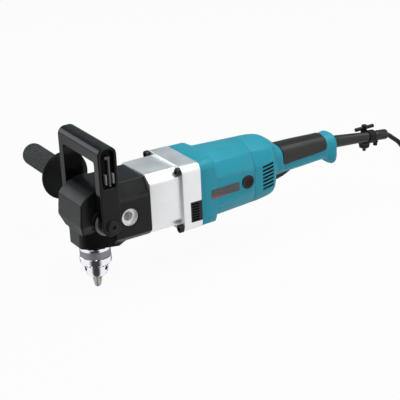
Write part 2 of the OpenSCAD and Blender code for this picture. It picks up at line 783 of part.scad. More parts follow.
module countershaft() {
  y = counter_y;
  z = counter_z;
  front = head_len - small_bearing_w + slide_gap;
  color([0.62, 0.62, 0.64]) {
    rod_x(front, gear_wall_x + small_bearing_w - slide_gap, small_journal_r, y, z);
    prism_x(final_x - 1, final_x + gear_w + 1) translate([y, z]) {
      gear_outline(counter_teeth, counter_angle + 180 + 180 / counter_teeth);
    }
  }
}
module intermediate_gear() {
  color([0.58, 0.58, 0.6]) {
    spur_gear(
      intermediate_x, intermediate_w, intermediate_teeth, counter_angle + 180, counter_y, counter_z,
      small_journal_r + seat_gap
    );
  }
}
module small_bearing(x, y, z) {
  ring_x(x, x + small_bearing_w, small_bearing_r, small_journal_r + run_gap, y, z);
}
module gear_bearings() {
  color([0.7, 0.71, 0.73]) {
    ring_x(chamber_r, chamber_r + pinion_bearing_w, pinion_bearing_r, pinion_r + run_gap);
    small_bearing(plate_x, 0, axis_h);
    small_bearing(head_len - small_bearing_w, counter_y, counter_z);
    small_bearing(gear_wall_x, counter_y, counter_z);
  }
}
module gear_section(inset) {
  half = gear_half - inset;
  low = axis_h - gear_drop + inset;
  high = top_z - inset;
  polygon([
    [-half, low + 8], [8 - half, low], [half - 8, low], [half, low + 8], [half, high - 10],
    [half - 13, high], [13 - half, high], [-half, high - 10]
  ]);
}
module bearing_plate() {
  color([0.66, 0.67, 0.69]) difference() {
    prism_x(plate_x, plate_x + plate_t) gear_section(gear_wall + 0.1);
    rod_x(plate_x - past, plate_x + small_bearing_w, small_bearing_r + seat_gap);
    rod_x(plate_x - past, plate_x + plate_t + past, small_journal_r + 2);
    rod_x(plate_x - past, plate_x + plate_t + past, small_journal_r + 2, counter_y, counter_z);
  }
}
module grille_window(side, grow) {
  low = axis_h - 36.5;
  translate([motor_x - grille_len - grow, side < 0 ? -flange_half - past : 20, low - grow]) {
    cube([grille_len + 2 * grow, flange_half - 20 + past, grille_h + 2 * grow]);
  }
}
module screw_places() {
  for (y = [-screw_half, screw_half], z = [axis_h - screw_half, axis_h + screw_half]) {
    translate([0, y, z]) children();
  }
}
thread_deep = 16;
module gear_housing() {
  color([0.86, 0.87, 0.88]) difference() {
    union() {
      difference() {
        prism_x(head_len, flange_x) gear_section(0);
        prism_x(head_len - past, gear_wall_x) gear_section(gear_wall);
      }
      prism_x(flange_x, motor_x) rounded(flange_half, axis_h - flange_half, axis_h + flange_half, flange_r);
      intersection() {
        for (p = head_screw_places) rod_x(head_len, head_len + head_screw_boss, 7, p[0], p[1]);
        prism_x(head_len, flange_x) gear_section(gear_wall / 2);
      }
    }
    translate([0, counter_y, counter_z - axis_h]) {
      rod_x(gear_wall_x - past, gear_wall_x + small_bearing_w, small_bearing_r + seat_gap);
    }
    rod_x(gear_wall_x - past, motor_x, shaft_r + 2);
    rod_x(armature_seat_x, motor_x, armature_bearing_r + seat_gap);
    rod_x(fan_chamber_x, motor_x + past, fan_chamber_r);
    grille_window(-1, 0.2);
    grille_window(1, 0.2);
    head_screw_holes();
    screw_places() rod_x(flange_x - past, motor_x + past, screw_r + seat_gap, 0, 0);
  }
}
module housing_screws() {
  color([0.12, 0.12, 0.12]) screw_places() {
    difference() {
      union() {
        rod_x(flange_x - screw_head_h, flange_x, screw_head_r, 0, 0);
        rod_x(flange_x - screw_head_h, motor_x + thread_deep - 1, screw_r, 0, 0);
      }
      prism_x(flange_x - screw_head_h - past, flange_x - screw_head_h + 3) hexagon(4);
    }
  }
}
// Louvres fill two thirds of a grille and leave a plain strip at its rear
module vent_grille(side) {
  low = axis_h - 36.5;
  louvres = 7;
  pitch = (grille_h - 3) / louvres;
  x = motor_x - grille_len;
  y = side < 0 ? -flange_half : flange_half - 4;
  color([0.1, 0.1, 0.1]) difference() {
    translate([x, y, low]) cube([grille_len, 4, grille_h]);
    for (k = [0:louvres - 1]) {
      translate([x + 2, y - past, low + 2 + k * pitch]) cube([0.62 * grille_len, 4 + 2 * past, pitch - 1.6]);
    }
  }
}

// Motor
module motor_housing() {
  color([0.2, 0.6, 0.67]) difference() {
    union() {
      skin(collar_stations);
      skin(motor_stations);
      rod_y(-brush_face, brush_face, brush_cap_r + 0.7, brush_x, axis_h);
    }
    rod_x(motor_x - past, seam_x + past, field_r + 0.1);
    rod_y(-brush_face - past, brush_face + past, brush_holder_r + seat_gap, brush_x, axis_h);
    screw_places() rod_x(motor_x - past, motor_x + thread_deep, screw_r + seat_gap, 0, 0);
  }
}
coil_in_r = armature_r + 3.5;
coil_out_r = field_r - 5.5;
module coil_window(x0, x1, trim) {
  for (t = [0, 180]) {
    intersection() {
      ring_x(x0, x1, coil_out_r - trim, coil_in_r + trim);
      translate([x0, 0, axis_h]) rotate([t, 0, 0]) prism_x(0, x1 - x0) {
        wide = 50 - trim * 2;
        polygon([[0, 0], [wide, 43], [wide, 60], [-wide, 60], [-wide, 43]]);
      }
    }
  }
}
module field_core() {
  color([0.45, 0.46, 0.48]) difference() {
    ring_x(field_x, field_x + field_len, field_r, armature_r + 0.7);
    coil_window(field_x - past, field_x + field_len + past, 0);
  }
}
module field_coils() {
  color([0.72, 0.4, 0.2]) coil_window(field_x - 6, field_x + field_len + 6, 0.2);
}
shaft_end_x = seam_x + small_bearing_w;
module armature_shaft() {
  front = gear_wall_x - 12;
  color([0.72, 0.73, 0.75]) {
    translate([0, 0, axis_h]) rotate([0, 90, 0]) rotate_extrude() {
      polygon([
        [0, front], [0.6 * armature_teeth * gear_module / 2, front],
        [0.6 * armature_teeth * gear_module / 2, gear_wall_x], [shaft_r, gear_wall_x],
        [shaft_r, seam_x - slide_gap], [small_journal_r, seam_x - slide_gap], [small_journal_r, shaft_end_x],
        [0, shaft_end_x]
      ]);
    }
    prism_x(front, front + 10) translate([0, axis_h]) {
      gear_outline(armature_teeth, counter_angle + 180 / armature_teeth);
    }
  }
}
module armature_core() {
  color([0.5, 0.42, 0.36]) difference() {
    ring_x(field_x, field_x + field_len, armature_r, shaft_r + seat_gap);
    for (k = [0:11]) {
      translate([field_x - past, 0, axis_h]) rotate([30 * k, 0, 0]) translate([0, -1.2, armature_r - 7]) {
        cube([field_len + 2 * past, 2.4, 8]);
      }
    }
  }
}
module commutator() {
  color([0.75, 0.45, 0.25]) ring_x(brush_x - 9, brush_x + 9, commutator_r, shaft_r + seat_gap);
}
module cooling_fan() {
  x = motor_x - 15;
  color([0.16, 0.16, 0.17]) {
    ring_x(x, x + 12, 11, shaft_r + seat_gap);
    ring_x(x, x + 2, fan_r, shaft_r + seat_gap);
    for (k = [0:fan_blades - 1]) {
      translate([x, 0, axis_h]) rotate([360 * k / fan_blades, 0, 0]) translate([0, -1, 10]) {
        cube([11, 2, fan_r - 10.5]);
      }
    }
  }
}
module armature_bearings() {
  color([0.7, 0.71, 0.73]) {
    ring_x(armature_seat_x, fan_chamber_x, armature_bearing_r, shaft_r + run_gap);
    small_bearing(seam_x, 0, axis_h);
  }
}
bracket_r = motor_rear_half - 6.5;
bracket_hole_r = (bracket_r + small_bearing_r) / 2;
module rear_bearing_bracket() {
  color([0.2, 0.2, 0.21]) difference() {
    rod_x(seam_x, seam_x + bracket_w, bracket_r);
    rod_x(seam_x - past, seam_x + small_bearing_w, small_bearing_r + seat_gap);
    for (k = [0:5]) {
      translate([seam_x - past, 0, axis_h]) rotate([60 * k, 0, 0]) translate([0, 0, bracket_hole_r]) {
        rotate([0, 90, 0]) cylinder(h = bracket_w + 2 * past, r = 7);
      }
    }
  }
}
brush_w = 6;
brush_h = 10;
brush_back = 30;
holder_in = commutator_r + 2.5;
holder_out = brush_face - 6;
module brush_slot(y0, y1, grow) {
  translate([brush_x - brush_w / 2 - grow, y0, axis_h - brush_h / 2 - grow]) {
    cube([brush_w + 2 * grow, y1 - y0, brush_h + 2 * grow]);
  }
}
module brush_holders() {
  color([0.75, 0.6, 0.3]) both_sides() {
    difference() {
      rod_y(holder_in, holder_out, brush_holder_r, brush_x, axis_h);
      brush_slot(holder_in - past, holder_out + past, 0.1);
    }
  }
}
module carbon_brushes() {
  color([0.2, 0.2, 0.2]) both_sides() {
    difference() {
      brush_slot(commutator_r - 1, brush_back, 0);
      rod_x(brush_x - brush_w, brush_x + brush_w, commutator_r + slide_gap);
    }
  }
}
module brush_springs() {
  color([0.8, 0.8, 0.8]) both_sides() {
    difference() {
      rod_y(brush_back, holder_out, 2.6, brush_x, axis_h);
      rod_y(brush_back - past, holder_out + past, 1.8, brush_x, axis_h);
    }
  }
}
module brush_caps() {
  color([0.1, 0.1, 0.1]) both_sides() {
    difference() {
      union() {
        rod_y(holder_out, brush_face, brush_holder_r, brush_x, axis_h);
        rod_y(brush_face, brush_face + cap_h, brush_cap_r, brush_x, axis_h);
      }
      translate([brush_x - brush_cap_r + 3, brush_face + cap_h - 1.5, axis_h - 1.1]) {
        cube([2 * brush_cap_r - 6, 2, 2.2]);
      }
    }
  }
}
// A bare plate on the flat side of the motor housing, tilted with its taper
plate_from = 17.5;
plate_len = 50;
plate_h = 13;
module name_plate() {
  x = motor_x + plate_from;
  y = flange_half - plate_from * motor_taper;
  color([0.3, 0.3, 0.32]) translate([x, -y, axis_h - 9]) rotate([0, 0, atan(motor_taper)]) {
    translate([0, -0.85, 0]) cube([plate_len, 0.8, plate_h]);
  }
}

// Rear housing and handle, split on the middle plane
handle_screw_places = [
  [dome_x - 15, axis_h + 33], [dome_x - 15, axis_h - 31], [grip_x + 56, axis_h + 13],
  [pommel_x + 9, axis_h - 14]
];
handle_screw_half = 12;
module guard_frame() {
  translate([end_x, 0, guard_z]) rotate([0, 90 + guard_droop, 0]) children();
}
module handle_hollow() {
  rod_x(seam_x - past, seam_x + bracket_w, bracket_r + 0.1);
  rod_x(seam_x, dome_x - 4, motor_rear_half - 8.5);
  rod_x(dome_x - 5, trigger_x + switch_len, 8, 0, axis_h + 4);
  translate([trigger_x - 2, -handle_half + 8, switch_low]) {
    cube([switch_len + 4, 2 * handle_half - 16, switch_h + 0.3]);
  }
  translate([trigger_x - 1.5, -trigger_half - slide_gap, axis_h - motor_rear_half]) {
    cube([trigger_len + 7, 2 * (trigger_half + slide_gap), switch_low - axis_h + motor_rear_half + past]);
  }
  rod_y(-handle_half + 4, handle_half - 4, trigger_pin_r + seat_gap, trigger_pin_x, trigger_pin_z);
  rod_x(trigger_x + switch_len, end_x - guard_foot - 20, 8, 0, axis_h + 4);
  guard_frame() {
    translate([0, 0, -guard_foot - 24]) cylinder(h = 24, r = 8);
    translate([0, 0, -guard_foot - slide_gap]) {
      cylinder(h = 6 + 2 * slide_gap, r = guard_root_r + 3 + slide_gap);
    }
    translate([0, 0, -guard_foot]) cylinder(h = guard_foot + 10, r = guard_root_r + slide_gap);
  }
}
vent_len = 21.5;
vent_h = 3.4;
vent_pitch = 5.75;
vent_slant = 2.4;
vent_count = 7;
module rear_vents() {
  x = dome_x - vent_len - 2;
  low = axis_h - 3 - vent_pitch * (vent_count - 1) / 2;
  both_sides() for (k = [0:vent_count - 1]) {
    z = low + k * vent_pitch;
    prism_y(motor_rear_half - 16, motor_rear_half + past) {
      polygon([
        [x, z - vent_h / 2], [x + vent_len, z - vent_h / 2 + vent_slant],
        [x + vent_len, z + vent_h / 2 + vent_slant], [x, z + vent_h / 2]
      ]);
    }
  }
}
module handle_screw_holes() {
  for (p = handle_screw_places) {
    rod_y(-handle_screw_half, handle_half + 30, screw_r + seat_gap, p[0], p[1]);
    rod_y(handle_screw_half, handle_half + 30, screw_head_r + slide_gap, p[0], p[1]);
  }
}
module handle_half_body(side) {
  color([0.2, 0.6, 0.67]) difference() {
    intersection() {
      skin(rear_stations);
      translate([seam_x - past, side < 0 ? -60 : 0, 0]) cube([end_x, 60, 2 * axis_h]);
    }
    difference() {
      handle_hollow();
      for (p = handle_screw_places) rod_y(-60, 60, screw_head_r + 1.5, p[0], p[1]);
    }
    handle_screw_holes();
    rear_vents();
  }
}
module handle_left() {
  handle_half_body(-1);
}
module handle_right() {
  handle_half_body(1);
}
// The rubber grip wraps the top and sides of the handle and leaves its underside bare
module handle_grip() {
  color([0.12, 0.12, 0.13]) intersection() {
    difference() {
      skin(grown(rear_stations, grip_t));
      skin(grown(rear_stations, 0.02));
    }
    prism_y(-60, 60) {
      polygon([
        [grip_x - 1, axis_h + 40], [grip_x - 1, axis_h + 3], [grip_x + 3, axis_h - 2],
        [pommel_x - 12, axis_h + 2], [pommel_x - 5, axis_h + 7], [pommel_x - 5, axis_h + 40]
      ]);
    }
  }
}
module handle_screws() {
  color([0.3, 0.3, 0.3]) for (p = handle_screw_places) {
    difference() {
      union() {
        rod_y(-handle_screw_half + 1, handle_screw_half, screw_r, p[0], p[1]);
        rod_y(handle_screw_half, handle_screw_half + 3, screw_head_r, p[0], p[1]);
      }
      translate([p[0], handle_screw_half + 2, p[1]]) for (t = [0, 90]) {
        rotate([0, t, 0]) translate([-2.5, 0, -0.5]) cube([5, 2, 1]);
      }
    }
  }
}
module switch_body() {
  color([0.15, 0.15, 0.16]) difference() {
    translate([trigger_x, -handle_half + 8.1, switch_low + 0.1]) {
      cube([switch_len, 2 * handle_half - 16.2, switch_h]);
    }
    translate([trigger_x + 6, -4, switch_low - past]) cube([8, 8, 4]);
  }
}
module trigger() {
  low = handle_low - trigger_out;
  color([0.1, 0.1, 0.1]) difference() {
    prism_y(-trigger_half, trigger_half) {
      polygon([
        [trigger_x, switch_low - 4], [trigger_x, low + 3], [trigger_x + 2, low], [trigger_x + 14, low + 3],
        [trigger_pin_x - 5, handle_low - 3], [trigger_pin_x + 3, trigger_pin_z - 3],
        [trigger_pin_x + 3, trigger_pin_z + 3], [trigger_x + 12, switch_low - 4]
      ]);
    }
    rod_y(-trigger_half - past, trigger_half + past, trigger_pin_r + run_gap, trigger_pin_x, trigger_pin_z);
  }
}
module trigger_pin() {
  color([0.7, 0.7, 0.72]) {
    rod_y(-handle_half + 4.5, handle_half - 4.5, trigger_pin_r, trigger_pin_x, trigger_pin_z);
  }
}

// Cord guard, the lead inside it, and the chuck key that it carries
module inner_lead() {
  color([0.1, 0.1, 0.1]) guard_frame() translate([0, 0, -lead_back]) {
    cylinder(h = lead_back + guard_len - lead_stop, r = cord_r);
  }
}
module cord_clamp() {
  color([0.2, 0.2, 0.2]) guard_frame() difference() {
    translate([-5, -5.6, -guard_foot - 14]) cube([10, 11.2, 8]);
    translate([0, 0, -guard_foot - 15]) cylinder(h = 10, r = guard_bore_r);
  }
}
module cord_guard() {
  color([0.1, 0.1, 0.1]) guard_frame() rotate_extrude() {
    polygon([
      [guard_bore_r, -guard_foot], [guard_root_r + 3, -guard_foot], [guard_root_r + 3, 6 - guard_foot],
      [guard_root_r, 6 - guard_foot], [guard_root_r, 0], [guard_tip_r, guard_len - 20],
      [guard_tip_r + 1, guard_len - 19], [guard_tip_r + 1, guard_len - 2], [guard_tip_r - 1, guard_len],
      [guard_bore_r, guard_len]
    ]);
  }
}
holder_r = guard_root_r - (guard_root_r - guard_tip_r) * (holder_at - 6) / (guard_len - 20) + 0.1;
module key_holder() {
  color([0.1, 0.1, 0.1]) difference() {
    union() {
      guard_frame() translate([0, 0, holder_at - 6]) cylinder(h = 12, r = holder_r + 2.5);
      rod_z(key_mid - 5, key_mid + 5, key_r + 2.8, key_x, key_y);
      guard_frame() {
        translate([guard_tip_r + 1.3, -3, holder_at - 4]) cube([2.4, 6, 20]);
        translate([guard_tip_r + 1.3, 0, holder_at + 12.5]) rotate([0, 90, 0]) cylinder(h = 8, r = 3.4);
      }
    }
    guard_frame() translate([0, 0, holder_at - 7]) cylinder(h = 14, r = holder_r);
    rod_z(key_low, key_high, key_r + 0.1, key_x, key_y);
  }
}
module chuck_key() {
  teeth = 10;
  color([0.12, 0.12, 0.12]) {
    rod_z(key_low, key_low + 6, key_hole_r - 0.2, key_x, key_y);
    difference() {
      translate([key_x, key_y, key_low + 6]) cylinder(h = 10, r1 = 8, r2 = 10);
      for (k = [0:teeth - 1]) {
        translate([key_x, key_y, key_low + 5]) rotate([0, 0, 360 * k / teeth]) translate([7, -1.3, 0]) {
          cube([4, 2.6, 7.5]);
        }
      }
    }
    rod_z(key_low + 14, key_high, key_r, key_x, key_y);
    rod_z(key_high - 5, key_high + 5, key_r + 1.2, key_x, key_y);
    rod_x(key_x - 18, key_x + 18, 3, key_y, key_high);
  }
}

// Loop handle over the head
module leg_outline() {
  r = leg_w / 2;
  top_r = 11;
  translate([0, pivot_z]) circle(r);
  translate([-r, pivot_z]) square([leg_w, loop_reach - top_r]);
  translate([top_r - r, pivot_z]) square([leg_w - 2 * top_r, loop_reach]);
  for (s = [-1, 1]) translate([s * (r - top_r), loop_top_z - top_r]) circle(top_r);
}
module key_pocket() {
  low = loop_top_z - 60;
  prism_y(-loop_outer_half - past, 7 - loop_outer_half) {
    rounded(10.3, low, loop_top_z - 3.5, 8);
    translate([-9, low]) square([18, 30]);
  }
}
module loop_handle() {
  fillet = 3;
  color([0.12, 0.12, 0.13]) difference() {
    prism_y(-loop_outer_half, loop_outer_half) leg_outline();
    prism_x(-leg_w, leg_w) {
      translate([-loop_inner_half, 0]) square([2 * loop_inner_half, bar_z - fillet]);
      translate([fillet - loop_inner_half, 0]) square([2 * (loop_inner_half - fillet), bar_z]);
      for (s = [-1, 1]) translate([s * (loop_inner_half - fillet), bar_z - fillet]) circle(fillet);
    }
    both_sides() rod_y(loop_inner_half - past, loop_outer_half + past, pivot_r + 0.08, 0, pivot_z);
    key_pocket();
  }
}
module loop_handle_bolts() {
  head_y = loop_outer_half + slide_gap;
  color([0.1, 0.1, 0.1]) both_sides() {
    difference() {
      union() {
        rod_y(recess_half - 1, head_y, pivot_r, 0, pivot_z);
        rod_y(head_y, head_y + 1.2, pivot_r + 4.6, 0, pivot_z);
        rod_y(head_y + 1.2, head_y + 4, pivot_r + 3, 0, pivot_z);
      }
      translate([0, head_y + 5, pivot_z]) rotate([90, 0, 0]) linear_extrude(4) hexagon(6);
    }
  }
}
module hex_key() {
  y = -loop_outer_half + 4;
  low = loop_top_z - 58;
  color([0.4, 0.4, 0.42]) {
    translate([2.6, y, low]) linear_extrude(44) hexagon(4.5);
    translate([-3.4, y, low + 42]) rotate([0, 90, 0]) linear_extrude(8) hexagon(4.5);
    for (x = [-5, 6.4]) translate([x, -loop_outer_half + 0.6, low + 6]) cube([2.2, 6.4, 12]);
  }
}

// Side handle on the far side
module side_handle_stud() {
  color([0.7, 0.71, 0.73]) {
    rod_y(head_half - thread_len + 1, head_half + past, side_thread_r - seat_gap, side_x, side_z);
    rod_y(head_half + slide_gap, disc_y - 4, rod_r, side_x, side_z);
    rod_y(disc_y - 4, disc_y + 50, side_thread_r - 1, side_x, side_z);
  }
}
module side_handle_grip() {
  color([0.14, 0.14, 0.14]) translate([side_x, disc_y - 4, side_z]) rotate([-90, 0, 0]) rotate_extrude() {
    polygon([
      [side_thread_r - 1 + seat_gap, 0], [rod_r + 5, 0], [disc_r - 2, 2], [disc_r, 4], [disc_r - 2, 6.5],
      [side_grip_r + 3, 9], [side_grip_r - 0.5, 16], [side_grip_r, 60], [side_grip_r, side_grip_len],
      [side_grip_r - 3, side_grip_len + 5], [side_grip_r - 8, side_grip_len + 7], [0, side_grip_len + 7.5],
      [0, 56], [side_thread_r - 1 + seat_gap, 56]
    ]);
  }
}

// Cord, coil and plug
layer_turns = coil_turns / 4;
coil_rings = 24;
function layer_of(t) = min(3, floor(t / layer_turns));
function spiral_r(t) =
  let (layer = layer_of(t), part = t - layer * layer_turns)
  layer % 2 == 0 ? coil_r - coil_step * part : coil_r - coil_step * (layer_turns - part);
function climb(t) = let (u = min(1, max(0, t))) u * u * (3 - 2 * u);
function spiral_z(t) = coil_z + coil_step * (
  climb((t - layer_turns) * 2 + 0.5) + climb((t - 2 * layer_turns) * 2 + 0.5)
  + climb((t - 3 * layer_turns) * 2 + 0.5)
);
function coil_point(t) = [
  coil_centre[0] + spiral_r(t) * sin(360 * t), coil_centre[1] + spiral_r(t) * cos(360 * t), spiral_z(t)
];
coil_path = concat(
  [coil_point(0) - [cord_d, 0, 0]],
  [for (i = [0:coil_turns * coil_rings]) coil_point(i / coil_rings)],
  [coil_point(coil_turns) - [cord_d, 0, 0]]
);
coil_gap = min([
  for (i = [0:len(coil_path) - 1]) for (j = [i + 12:1:len(coil_path) - 1]) norm(coil_path[i] - coil_path[j])
]) - cord_d;
function path_len(p, i = 1) = i >= len(p) ? 0 : norm(p[i] - p[i - 1]) + path_len(p, i + 1);
lead_start = guard_tip - lead_stop * [cos(guard_droop), 0, -sin(guard_droop)];
cord_path = concat([lead_start, guard_tip], cord_route, [coil_path[0]]);
tail_path = concat([coil_path[len(coil_path) - 1]], tail_route, [plug_at]);
module cord() {
  color([0.1, 0.1, 0.1]) {
    tube(cord_path, cord_r, 10);
    tube(tail_path, cord_r, 10);
  }
}
module cord_coil() {
  echo(coil_gap = coil_gap, coil_len = path_len(coil_path));
  echo(cord_len = path_len(cord_path) - lead_stop, tail_len = path_len(tail_path));
  color([0.1, 0.1, 0.1]) tube(coil_path, cord_r, 6);
}
tie_w = 12;
tie_t = 1.1;
module coil_tie() {
  inner = coil_r - layer_turns * coil_step - cord_r - 0.4;
  outer = coil_r + cord_r + 0.4;
  high = coil_lift + 3 * coil_step + cord_d + 0.4;
  color([0.15, 0.15, 0.16]) translate([coil_centre[0], coil_centre[1] + tie_w / 2, 0]) rotate([90, 0, 0]) {
    linear_extrude(tie_w) difference() {
      translate([inner - tie_t, 0]) square([outer - inner + 2 * tie_t, high + tie_t]);
      translate([inner, tie_t]) square([outer - inner, high - tie_t]);
    }
  }
}
module plug_body() {
  color([0.1, 0.1, 0.1]) difference() {
    translate(plug_at) rotate([0, -90, 0]) rotate_extrude() {
      polygon([
        [0, 0], [cord_r + 2, 0], [cord_r + 3, 14], [plug_r - 2, 18], [plug_r, 21], [plug_r, plug_len - 1.5],
        [plug_r - 1.5, plug_len], [0, plug_len]
      ]);
    }
    plug_pin_shapes(6);
  }
}
module plug_pin_shapes(buried) {
  for (s = [-1, 1]) {
    translate([plug_at[0] - plug_len - pin_len, plug_at[1] + s * 6.35 - 0.75, plug_at[2] - 3.2]) {
      cube([pin_len + buried, 1.5, 6.4]);
    }
  }
}
module plug_pins() {
  color([0.8, 0.7, 0.4]) plug_pin_shapes(6);
}

head_casting();
head_cover();
head_screws();
side_handle_bushes();
spindle_bearings();
spindle_seal();
spindle();
bevel_gear();
chuck_body();
chuck_sleeve();
chuck_nut();
jaw(0);  // jaw_1
jaw(1);  // jaw_2
jaw(2);  // jaw_3
bevel_pinion_shaft();
final_gear();
countershaft();
intermediate_gear();
gear_bearings();
bearing_plate();
gear_housing();
housing_screws();
vent_grille(-1);  // vent_grille_left
vent_grille(1);  // vent_grille_right
motor_housing();
field_core();
field_coils();
armature_shaft();
armature_core();
commutator();
cooling_fan();
armature_bearings();
rear_bearing_bracket();
brush_holders();
carbon_brushes();
brush_springs();
brush_caps();
name_plate();
handle_left();
handle_right();
handle_grip();
handle_screws();
switch_body();
trigger();
trigger_pin();
inner_lead();
cord_clamp();
cord_guard();
key_holder();
chuck_key();
loop_handle();
loop_handle_bolts();
hex_key();
side_handle_stud();
side_handle_grip();
cord();
cord_coil();
coil_tie();
plug_body();
plug_pins();
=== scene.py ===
"""Looks of a right angle drill: shells, rubber, chuck, handles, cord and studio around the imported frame.

Lengths are written in millimetres and turned into metres by MM where a mesh is made.
"""

from math import cos, pi, radians, sin

import bmesh
import bpy
from mathutils import Matrix, Vector


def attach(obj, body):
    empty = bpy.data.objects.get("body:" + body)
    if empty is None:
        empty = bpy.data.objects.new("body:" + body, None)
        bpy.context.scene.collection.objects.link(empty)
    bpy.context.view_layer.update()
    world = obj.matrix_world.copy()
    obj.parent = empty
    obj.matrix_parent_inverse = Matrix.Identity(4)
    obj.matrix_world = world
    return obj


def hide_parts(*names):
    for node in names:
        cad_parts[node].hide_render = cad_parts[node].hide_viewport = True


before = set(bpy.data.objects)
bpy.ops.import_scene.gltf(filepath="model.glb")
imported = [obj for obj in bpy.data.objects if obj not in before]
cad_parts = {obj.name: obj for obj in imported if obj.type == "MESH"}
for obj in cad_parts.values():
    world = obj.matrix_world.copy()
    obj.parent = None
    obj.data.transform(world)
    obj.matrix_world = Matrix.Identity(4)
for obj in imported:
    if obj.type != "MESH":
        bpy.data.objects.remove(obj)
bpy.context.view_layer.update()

scene = bpy.context.scene
mats = {}

# Sizes and places that several pieces share: X from the spindle, Z from the jaws' tips, angles in degrees
MM = 0.001
SIDES = (-1, 1)
AXIS = 116.5  # height of the motor's axis
PIVOT_Z = 113.5  # height of the loop handle's pivot
SIDE_X, SIDE_Z = 35.5, 113.5  # the side handle's axis
COVER_LOW = 140  # height of the seam under the head cover
FLANGE_X, FLANGE_END = 121, 152
FLANGE_HALF = 50.5
FLANGE_SCREWS = [(y, AXIS + z) for y in (-44, 44) for z in (-44, 44)]
BRUSH_X = 235
HANDLE_END = 420
GUARD_Z, GUARD_LEN, GUARD_DROOP = AXIS + 4.9, 114.6, 6.2
CORD_R = 3.75

# Camera, solved from the photograph's own right angles
CAMERA_TURN, CAMERA_LIFT, CAMERA_ROLL = -31.076, 22.974, 2.722
CAMERA_TARGET = (177.575, -2.529, 87.766)
CAMERA_DISTANCE = 1932.07
CAMERA_LENS = 117


def add_camera():
    turn, lift, roll = radians(CAMERA_TURN), radians(CAMERA_LIFT), radians(CAMERA_ROLL)
    right = Vector((cos(turn), sin(turn), 0))
    up = Vector((-sin(turn) * sin(lift), cos(turn) * sin(lift), cos(lift)))
    back = Vector((sin(turn) * cos(lift), -cos(turn) * cos(lift), sin(lift)))
    side = right * cos(roll) - up * sin(roll)
    top = right * sin(roll) + up * cos(roll)
    place = (Vector(CAMERA_TARGET) + back * CAMERA_DISTANCE) * MM
    data = bpy.data.cameras.new("camera")
    data.lens = CAMERA_LENS
    data.sensor_width = 36
    data.clip_end = 50
    cam = bpy.data.objects.new("camera", data)
    cam.matrix_world = Matrix.Translation(place) @ Matrix((side, top, back)).transposed().to_4x4()
    scene.collection.objects.link(cam)
    scene.camera = cam


# Nodes of materials
def feed(tree, socket, value):
    """Link a node's output into a socket, or set the socket to a plain value."""
    if isinstance(value, bpy.types.NodeSocket):
        tree.links.new(value, socket)
    else:
        socket.default_value = value


def calc(tree, operation, *values, kind="ShaderNodeMath", out="Value"):
    node = tree.nodes.new(kind)
    node.operation = operation
    for socket, value in zip(node.inputs, values):
        feed(tree, socket, value)
    return node.outputs[out]


def vector_calc(tree, operation, *values, out="Vector"):
    return calc(tree, operation, *values, kind="ShaderNodeVectorMath", out=out)


def object_coords(tree):
    return tree.nodes.new("ShaderNodeTexCoord").outputs["Object"]


def split_xyz(tree, source):
    node = tree.nodes.new("ShaderNodeSeparateXYZ")
    feed(tree, node.inputs["Vector"], source)
    return [node.outputs[axis] for axis in "XYZ"]


def ramp(tree, source, low, high, at=(0.3, 0.7)):
    node = tree.nodes.new("ShaderNodeValToRGB")
    for stop, colour, place in zip(node.color_ramp.elements, (low, high), at):
        stop.color = (*colour, 1)
        stop.position = place
    feed(tree, node.inputs["Fac"], source)
    return node.outputs["Color"]


def span(tree, source, low, high, start=0.3, end=0.7):
    """The source's range from start to end, mapped to low and high."""
    node = tree.nodes.new("ShaderNodeMapRange")
    for name, value in (("From Min", start), ("From Max", end), ("To Min", low), ("To Max", high)):
        node.inputs[name].default_value = value
    feed(tree, node.inputs["Value"], source)
    return node.outputs["Result"]


def noise(tree, coords, scale, detail, stretch):
    spread = tree.nodes.new("ShaderNodeMapping")
    spread.inputs["Scale"].default_value = stretch
    feed(tree, spread.inputs["Vector"], coords)
    node = tree.nodes.new("ShaderNodeTexNoise")
    node.inputs["Scale"].default_value = scale
    node.inputs["Detail"].default_value = detail
    feed(tree, node.inputs["Vector"], spread.outputs["Vector"])
    return node.outputs["Fac"]


def relief(tree, height, strength, depth, under=None):
    """A bump's normal, over another normal where one is given."""
    node = tree.nodes.new("ShaderNodeBump")
    node.inputs["Strength"].default_value = strength
    node.inputs["Distance"].default_value = depth * MM
    feed(tree, node.inputs["Height"], height)
    if under is not None:
        feed(tree, node.inputs["Normal"], under)
    return node.outputs["Normal"]


# Materials
def surface(name, low, high, rough, grain=900, bump=0.1, depth=0.05, metal=0, coat=0, specular=0.5,
            stretch=(1, 1, 1)):
    """Two close colours in a broad cloud, varied roughness and a fine grain in relief."""
    mat = bpy.data.materials.new(name)
    mat.use_nodes = True
    tree = mat.node_tree
    coords = object_coords(tree)
    cloud = noise(tree, coords, 40, 5, stretch)
    fine = noise(tree, coords, grain, 3, stretch)
    looks = {
        "Base Color": ramp(tree, cloud, low, high),
        "Roughness": span(tree, cloud, *rough),
        "Normal": relief(tree, fine, bump, depth),
        "Metallic": metal,
        "Coat Weight": coat,
        "Coat Roughness": 0.12,
        "Specular IOR Level": specular,
    }
    for socket, value in looks.items():
        feed(tree, tree.nodes["Principled BSDF"].inputs[socket], value)
    mats[name] = mat


